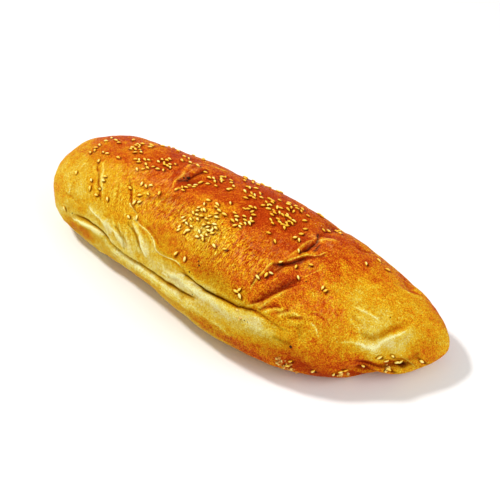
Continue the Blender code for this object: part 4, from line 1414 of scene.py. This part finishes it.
# %% [markdown]
# ## Draw the seeds
#
# Most seeds lie more or less along the loaf, and the loose ones lower on the
# front side lie across it. A seed that would sit on another is left out, and
# in a thin patch only the solid model's seeds are kept. A seeded draw gives
# the same seeds on each run, so the draws below keep their order.

# %% Draw the seeds
FUSED_SHARE = 0.40
FUSED_SPACING = 1.2 * SEED_LENGTH * 1000.0
LOOSE_SPACING = 0.62 * SEED_LENGTH * 1000.0
THIN_PATCH = 9
CROWN_EDGE = -15.0
TURN_ON_CROWN, TURN_BELOW, TURN_RANGE = -0.6, 0.8, 1.2


def scattered(draw, centre, reach):
    """A place drawn evenly within the reach of the centre."""
    away = math.sqrt(draw.random())
    way = draw.uniform(0.0, 2.0 * math.pi)
    return centre[0] + reach[0] * away * math.cos(way), centre[1] + reach[1] * away * math.sin(way)


def drawn_seeds():
    """(x, g, turn, size) of the seeds of the solid model, and of the others."""
    draw = random.Random(1471)
    early, late = [], []
    for centre, reach, count in SPRINKLINGS:
        for number in range(count):
            seed = (*scattered(draw, centre, reach), draw.uniform(-0.9, 0.9), draw.uniform(0.85, 1.12))
            if number < math.ceil(count * FUSED_SHARE):
                early.append(seed)
            elif count >= THIN_PATCH:
                late.append(seed)
    for centre, reach, count in LOOSE_SPRINKLINGS:
        turn = TURN_BELOW if centre[1] < CROWN_EDGE else TURN_ON_CROWN
        for _ in range(count):
            late.append((*scattered(draw, centre, reach), draw.uniform(turn, turn + TURN_RANGE),
                         draw.uniform(0.85, 1.15)))
    return early, late


def single_seeds():
    draw = random.Random(77)
    return [(x, g, draw.uniform(-1.5, 1.5), draw.uniform(0.95, 1.15)) for x, g in SINGLE_SEEDS]


def add_apart(kept, seeds, spacing):
    """Those kept, and each new seed that is further than the spacing from all of them."""
    for seed in seeds:
        if all(math.hypot(seed[0] - k[0], seed[1] - k[1]) > spacing for k in kept):
            kept.append(seed)
    return kept


early_seeds, late_seeds = drawn_seeds()
seeds = add_apart([], early_seeds, FUSED_SPACING)
fused_count = len(seeds)
seeds = add_apart(seeds, single_seeds(), LOOSE_SPACING)
seeds = add_apart(seeds, late_seeds, LOOSE_SPACING)
print(fused_count, "seeds of the solid model and", len(seeds) - fused_count, "more")

# %% [markdown]
# ## Painted shadow round each seed
#
# Round each seed the crust's colour is darkened with painted shadow, most on
# the side away from the light. The shadow is one more field on the crust: an
# oval round every seed, a little larger than it and shifted to one side.

# %% Paint a shadow round the seeds
# the painted shadow is shifted towards +x and down the front, away from the key light
RIM_SHIFT_X, RIM_SHIFT_G = 0.55, -0.2
RIM_AHEAD, RIM_ASIDE = 0.25, 0.45
RIM_LOOK = 5.0
seed_shadow = np.zeros(place_x.shape)
for x, g, turn, size in seeds:
    near = (np.abs(place_x - x) < RIM_LOOK) & (np.abs(place_g - g) < RIM_LOOK)
    dx, dg = place_x[near] - x - RIM_SHIFT_X, place_g[near] - g - RIM_SHIFT_G
    ahead = dx * math.cos(turn) + dg * math.sin(turn)
    aside = dg * math.cos(turn) - dx * math.sin(turn)
    half_length = 500.0 * SEED_LENGTH * size + RIM_AHEAD
    half_width = 500.0 * SEED_WIDTH * size + RIM_ASIDE
    gap = np.hypot(ahead / half_length, aside / half_width)
    seed_shadow[near] = np.maximum(seed_shadow[near], np.exp(-gap ** 4))
store(crust_mesh, "seed_shadow", seed_shadow, NOTHING)
print("share of the crust that is browned:", round(float((seed_shadow > 0.5).mean()), 3))

# %% [markdown]
# ## From places to points on the crust
#
# Geometry Nodes can put a seed on every point of a mesh, if each point knows
# which way is out and which way the seed lies. The nearest grid point of the
# crust gives the place and the outward direction, and both go into vertex
# attributes of a small mesh of loose points.

# %% Look up points on the crust
surface_out = outward_of(crust_points)


def on_crust(x, g):
    """Place on the fine crust, and the outward direction there."""
    row = int(np.argmin(np.abs(place_x[:, 0] - x)))
    column = int(np.argmin(np.abs(place_g[row] - g)))
    return Vector(crust_points[row, column]), Vector(surface_out[row, column]).normalized()


def points_object(name, entries):
    """A mesh of loose points. Each entry is (spot, out, ahead, size, tone)."""
    mesh = bpy.data.meshes.new(name)
    mesh.from_pydata([tuple(entry[0]) for entry in entries], [], [])
    for number, label in ((1, "out"), (2, "ahead")):
        layer = mesh.attributes.new(label, "FLOAT_VECTOR", "POINT")
        layer.data.foreach_set("vector", [v for entry in entries for v in entry[number]])
    for number, label in ((3, "size"), (4, "tone")):
        layer = mesh.attributes.new(label, "FLOAT", "POINT")
        layer.data.foreach_set("value", [entry[number] for entry in entries])
    points = bpy.data.objects.new(name, mesh)
    bpy.context.scene.collection.objects.link(points)
    return points


def ahead_of(out, turn):
    """Direction in the surface, turned from the loaf's length by that angle."""
    lengthwise = Vector((1.0, 0.0, 0.0)) - out * out.x
    lengthwise.normalize()
    return lengthwise * math.cos(turn) + out.cross(lengthwise) * math.sin(turn)


middle_of_crown, up_there = on_crust(0.0, 0.0)
print("top of the crown at", [round(v * 1000, 1) for v in middle_of_crown], "mm")

# %% [markdown]
# ## Lay each seed on the crust
#
# Seeds toast with the crust, so each takes its tone from the paleness where it
# lies, and chance adds the rest. On dark crust they also sit deeper, as if
# baked in. A small random tilt keeps them from lying like tiles.

# %% Lay the seeds
SEED_SINK, DARK_CRUST_SINK = 0.14, 0.20
SEED_TILT = 0.18
CHANCE_TONE, CRUST_TONE, LEAST_TONE = 0.60, 0.62, 0.34
tone_draw = random.Random(88)
seed_entries = []
for x, g, turn, size in seeds:
    spot, out = on_crust(x, g)
    pale_here = float(paleness_at(np.array([x]), np.array([g]))[0])
    lift = 0.5 - SEED_SINK - DARK_CRUST_SINK * (1.0 - pale_here)
    spot = spot + out * SEED_THICKNESS * size * lift
    tilt = Vector([tone_draw.uniform(-SEED_TILT, SEED_TILT) for _ in range(3)])
    out = (out + tilt).normalized()
    tone = CHANCE_TONE * tone_draw.random() + CRUST_TONE * pale_here + LEAST_TONE
    seed_entries.append((spot, out, ahead_of(out, turn), size, tone))
seed_points = points_object("seed_points", seed_entries)
print("seed points:", len(seed_points.data.vertices))

# %% [markdown]
# ## Seeds from Geometry Nodes
#
# The tree reads the directions from the points, turns an instance of the seed
# to fit each, and scales it. Realize Instances makes real faces of them, so
# that nothing is lost when the model is exported, and the tone travels along
# as an attribute that the material can read. All that is random lies in the
# points already, so the tree has nothing random in it.

# %% Build the sprinkling tree
def named(tree, name, kind):
    node = add_node(tree, "GeometryNodeInputNamedAttribute", data_type=kind)
    node.inputs["Name"].default_value = name
    return node.outputs["Attribute"]


def build_sprinkle_tree():
    tree = bpy.data.node_groups.new("sprinkle", "GeometryNodeTree")
    link = tree.links.new
    face = tree.interface
    face.new_socket("Geometry", in_out="INPUT", socket_type="NodeSocketGeometry")
    face.new_socket("Piece", in_out="INPUT", socket_type="NodeSocketObject")
    face.new_socket("Scale", in_out="INPUT", socket_type="NodeSocketFloat").default_value = 1.0
    face.new_socket("Finish", in_out="INPUT", socket_type="NodeSocketMaterial")
    face.new_socket("Geometry", in_out="OUTPUT", socket_type="NodeSocketGeometry")
    inside, outside = add_node(tree, "NodeGroupInput"), add_node(tree, "NodeGroupOutput")
    piece = add_node(tree, "GeometryNodeObjectInfo")
    link(inside.outputs["Piece"], piece.inputs["Object"])
    turned = add_node(tree, "FunctionNodeAxesToRotation", primary_axis="Z", secondary_axis="X")
    link(named(tree, "out", "FLOAT_VECTOR"), turned.inputs["Primary Axis"])
    link(named(tree, "ahead", "FLOAT_VECTOR"), turned.inputs["Secondary Axis"])
    size = add_node(tree, "ShaderNodeMath", operation="MULTIPLY")
    link(named(tree, "size", "FLOAT"), size.inputs[0])
    link(inside.outputs["Scale"], size.inputs[1])
    spread = add_node(tree, "GeometryNodeInstanceOnPoints")
    link(inside.outputs["Geometry"], spread.inputs["Points"])
    link(piece.outputs["Geometry"], spread.inputs["Instance"])
    link(turned.outputs["Rotation"], spread.inputs["Rotation"])
    link(size.outputs["Value"], spread.inputs["Scale"])
    real = add_node(tree, "GeometryNodeRealizeInstances")
    link(spread.outputs["Instances"], real.inputs["Geometry"])
    finish = add_node(tree, "GeometryNodeSetMaterial")
    link(real.outputs["Geometry"], finish.inputs["Geometry"])
    link(inside.outputs["Finish"], finish.inputs["Material"])
    link(finish.outputs["Geometry"], outside.inputs["Geometry"])
    return tree


sprinkle_tree = build_sprinkle_tree()
print("sprinkle tree nodes:", len(sprinkle_tree.nodes))

# %% [markdown]
# ## From the tree to a plain mesh
#
# A modifier on the loose points runs the tree. Its inputs are set by each
# socket's identifier, because names are only labels. The evaluated result is
# then copied into a plain mesh, and the points with their modifier are thrown
# away, so what is left exports like any other mesh.

# %% Write the sprinkling
def socket_id(tree, name):
    for item in tree.interface.items_tree:
        if item.name == name and item.in_out == "INPUT":
            return item.identifier


def sprinkle(points, piece, scale, material, name):
    """Put the piece on every point and return the result as one plain mesh."""
    modifier = points.modifiers.new("sprinkle", "NODES")
    modifier.node_group = sprinkle_tree
    for label, value in (("Piece", piece), ("Scale", scale), ("Finish", material)):
        modifier[socket_id(sprinkle_tree, label)] = value
    bpy.context.view_layer.update()
    graph = bpy.context.evaluated_depsgraph_get()
    mesh = bpy.data.meshes.new_from_object(points.evaluated_get(graph), depsgraph=graph)
    points.modifiers.remove(modifier)
    bpy.data.objects.remove(points, do_unlink=True)
    mesh.name = name
    result = bpy.data.objects.new(name, mesh)
    bpy.context.scene.collection.objects.link(result)
    return result


print("inputs:", [item.name for item in sprinkle_tree.interface.items_tree if item.in_out == "INPUT"])

# %% [markdown]
# ## The seeds' finish
#
# Hulled sesame is ivory and toasts to gold. Each seed's tone attribute moves
# it along a short ramp, the height up the seed makes its foot brown and its
# top light as painted shade and painted light, and the shared grain gives it a
# slight mottling. Its oil makes it a little shinier than the crust.

# %% Finish and place the seeds
SEED_COLOURS = (
    (0.0, (0.20, 0.040, 0.000)),
    (0.25, (0.62, 0.20, 0.000)),
    (0.6, (0.98, 0.50, 0.006)),
    (0.85, (1.00, 0.72, 0.080)),
    (1.0, (1.00, 0.88, 0.300)),
)
seed_material, tree, shader = new_material("sesame")
own_tone = added(tree, attribute(tree, "tone"), grain(tree, 900.0, 0.5))
# higher up the seed is lighter: painted light on top, painted shade at the foot
tone = added(tree, scaled(tree, own_tone, 0.6), scaled(tree, attribute(tree, "upness"), 0.55), -0.08)
tree.links.new(colour_ramp(tree, tone, SEED_COLOURS), shader.inputs["Base Color"])
shader.inputs["Roughness"].default_value = 0.30
shader.inputs["Specular IOR Level"].default_value = 0.30
sesame = sprinkle(seed_points, one_seed, 1.0, seed_material, "sesame_seeds")
print("sesame triangles:", triangle_count(sesame.data))

# %% [markdown]
# ## Burnt specks
#
# A few specks of burnt flour and seed dust stick to any crust, and some larger
# ones lie in the sunken blister. They are squashed little lumps, irregular in
# outline and half sunk, and they use the same sprinkling tree as the seeds.

# %% List the burnt specks and shape a lump
SPECKS = (
    # x, g, size in mm
    (24.5, -54.5, 1.5), (79, -53, 1.9), (7, -54, 1.4), (14, -44.5, 1.2), (12.5, -42.5, 1.0),
    (10.5, -50.5, 1.2), (-98, -54.5, 1.1), (-66, -61.5, 0.8), (-60, -61, 0.6), (16, -61.5, 0.9),
    (52, -55, 0.8), (54, -54.6, 0.6), (42.5, 11.3, 0.9), (36.5, 10.8, 1.3), (32, 9.5, 0.9),
    (113, -9.5, 0.8), (102.5, -29, 0.6), (75, -9.5, 0.6), (70, -17.8, 0.9), (80.5, -3, 0.8),
    (-17.2, -19, 0.7), (-4.2, -9, 0.8), (-23.5, -44, 0.6), (27, -31, 0.5), (50, -55.5, 0.6),
    (77, 11, 0.7), (121, -39.5, 1.8), (-32.0, 2.7, 2.0), (-31.0, 0.6, 1.6), (-33.4, 1.0, 1.3),
    (-31.8, 4.6, 1.2), (77, -69, 1.6), (104, -52.5, 0.9), (0, 20, 0.8), (-34, 16, 1.0), (20, 29, 0.8),
    (-80, 55, 1.0), (20, 63, 1.4), (66, 58, 1.0), (-40, 58, 0.8),
)


def lump(seed, name, squash):
    """A small icosphere with uneven points, a millimetre across."""
    mesh = bmesh.new()
    bmesh.ops.create_icosphere(mesh, subdivisions=2, radius=0.0005)
    for vert in mesh.verts:
        swell = 1.0 + 0.45 * noise.noise(vert.co * 2600.0 + Vector((seed, 0.0, 0.0)))
        vert.co = Vector((vert.co.x, vert.co.y * 0.8, vert.co.z * squash)) * swell
    data = bpy.data.meshes.new(name)
    mesh.to_mesh(data)
    mesh.free()
    data.shade_smooth()
    return bpy.data.objects.new(name, data)


one_speck = lump(3.0, "one_speck", 0.45)
print("specks:", len(SPECKS))

# %% [markdown]
# ## A dull finish for small lumps
#
# Specks and crumbs differ only in their two colours, so one function makes
# both finishes. Specks lie at their own places, each turned by chance.

# %% Finish and place the specks
def toned_material(name, darkest, lightest):
    """A dull finish between two colours, by each lump's tone and the shared grain."""
    material, tree, shader = new_material(name)
    tone = added(tree, attribute(tree, "tone"), grain(tree, 1500.0, 0.6))
    tree.links.new(colour_ramp(tree, tone, ((0.0, darkest), (1.0, lightest))), shader.inputs["Base Color"])
    return material, shader


speck_entries = []
for x, g, size in SPECKS:
    spot, out = on_crust(x, g)
    ahead = ahead_of(out, tone_draw.uniform(-3.0, 3.0))
    speck_entries.append((spot, out, ahead, size, tone_draw.random()))
speck_material, shader = toned_material("burnt", (0.012, 0.006, 0.003), (0.07, 0.022, 0.006))
shader.inputs["Roughness"].default_value = 0.8
shader.inputs["Specular IOR Level"].default_value = 0.08
speck_points = points_object("speck_points", speck_entries)
specks = sprinkle(speck_points, one_speck, 1.0, speck_material, "burnt_specks")
print("speck triangles:", triangle_count(specks.data))

# %% [markdown]
# ## Crumbs
#
# A little clump of pale crumbs clings to the foot of the front side, and a few
# more sit in the tuck under the tip and on the ledge. They are rounder lumps
# than the specks and sit on the crust instead of in it.

# %% Make the crumbs
CRUMB_CLUMPS = (
    # centre (x, g), reach in mm, and the count
    ((77, -69), 4.5, 30), ((103, -57), 2.5, 6), ((121, -37), 3.0, 6), ((48, -54.5), 2.0, 4),
)
CRUMB_LIFT = 0.0002
crumb_draw = random.Random(9)
crumb_entries = []
for centre, reach, count in CRUMB_CLUMPS:
    for _ in range(count):
        x = centre[0] + crumb_draw.uniform(-reach, reach)
        g = centre[1] + crumb_draw.uniform(-reach, reach)
        spot, out = on_crust(x, g)
        size = crumb_draw.uniform(0.7, 2.2)
        spot = spot + out * CRUMB_LIFT * size
        ahead = ahead_of(out, crumb_draw.uniform(-3.0, 3.0))
        crumb_entries.append((spot, out, ahead, size, crumb_draw.random()))
crumb_material, shader = toned_material("crumb", (0.55, 0.20, 0.01), (0.95, 0.70, 0.16))
shader.inputs["Roughness"].default_value = 0.75
crumb_points = points_object("crumb_points", crumb_entries)
crumbs = sprinkle(crumb_points, lump(7.0, "one_crumb", 0.8), 1.0, crumb_material, "crumbs")
print("crumbs:", len(crumb_entries))

# %% [markdown]
# ## The floor
#
# The loaf lies on a plain pale floor, a single large face. It belongs to the
# picture and not to the loaf.

# %% Set the floor
FLOOR_HALF = 3.0
corners = [(x * FLOOR_HALF, y * FLOOR_HALF, 0.0) for x, y in ((-1, -1), (1, -1), (1, 1), (-1, 1))]
floor_mesh = bpy.data.meshes.new("floor")
floor_mesh.from_pydata(corners, [], [(0, 1, 2, 3)])
floor = bpy.data.objects.new("floor", floor_mesh)
bpy.context.scene.collection.objects.link(floor)
floor_material, tree, shader = new_material("pale_floor")
shader.inputs["Base Color"].default_value = (0.93, 0.925, 0.915, 1.0)
shader.inputs["Roughness"].default_value = 0.9
floor_mesh.materials.append(floor_material)
print("floor", 2 * FLOOR_HALF, "m wide")

# %% [markdown]
# ## The light
#
# A soft light from the upper left models the folds, a wide one from the other
# side lifts their shadows, and a bright sky fills the rest, as in a light
# tent. The plain view transform keeps the strong golden colours, which a
# filmic one would grey.

# %% Set the lights
LIGHT_CENTRE = Vector((0.0, 0.0, 0.03))
LIGHT_DISTANCE = 1.4


def soft_light(name, towards, size, power):
    """A round area light that looks at the loaf from that direction."""
    data = bpy.data.lights.new(name, "AREA")
    data.shape = "DISK"
    data.size = size
    data.energy = power
    lamp = bpy.data.objects.new(name, data)
    bpy.context.scene.collection.objects.link(lamp)
    towards = towards.normalized()
    lamp.location = LIGHT_CENTRE + towards * LIGHT_DISTANCE
    lamp.rotation_euler = towards.to_track_quat("Z", "Y").to_euler()


soft_light("key", Vector((-0.57, -0.14, 0.78)), size=0.18, power=14.2)
soft_light("fill", Vector((0.80, 0.05, 0.54)), size=1.2, power=10.0)
world = bpy.data.worlds.new("light_tent")
world.use_nodes = True
sky = world.node_tree.nodes["Background"]
sky.inputs["Color"].default_value = (1.0, 0.99, 0.97, 1.0)
sky.inputs["Strength"].default_value = 0.46
bpy.context.scene.world = world
bpy.context.scene.view_settings.view_transform = "Standard"

# %% [markdown]
# ## Tie the pieces to the model
#
# The crust and the seeds stand for the solid loaf together, so the plain solid
# is hidden, and the specks and crumbs are added to them. All four ride on the
# loaf's body.

# %% Ride and replace
for piece in (crust, sesame, specks, crumbs):
    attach(piece, "root")
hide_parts("baguette")
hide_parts("baguette")
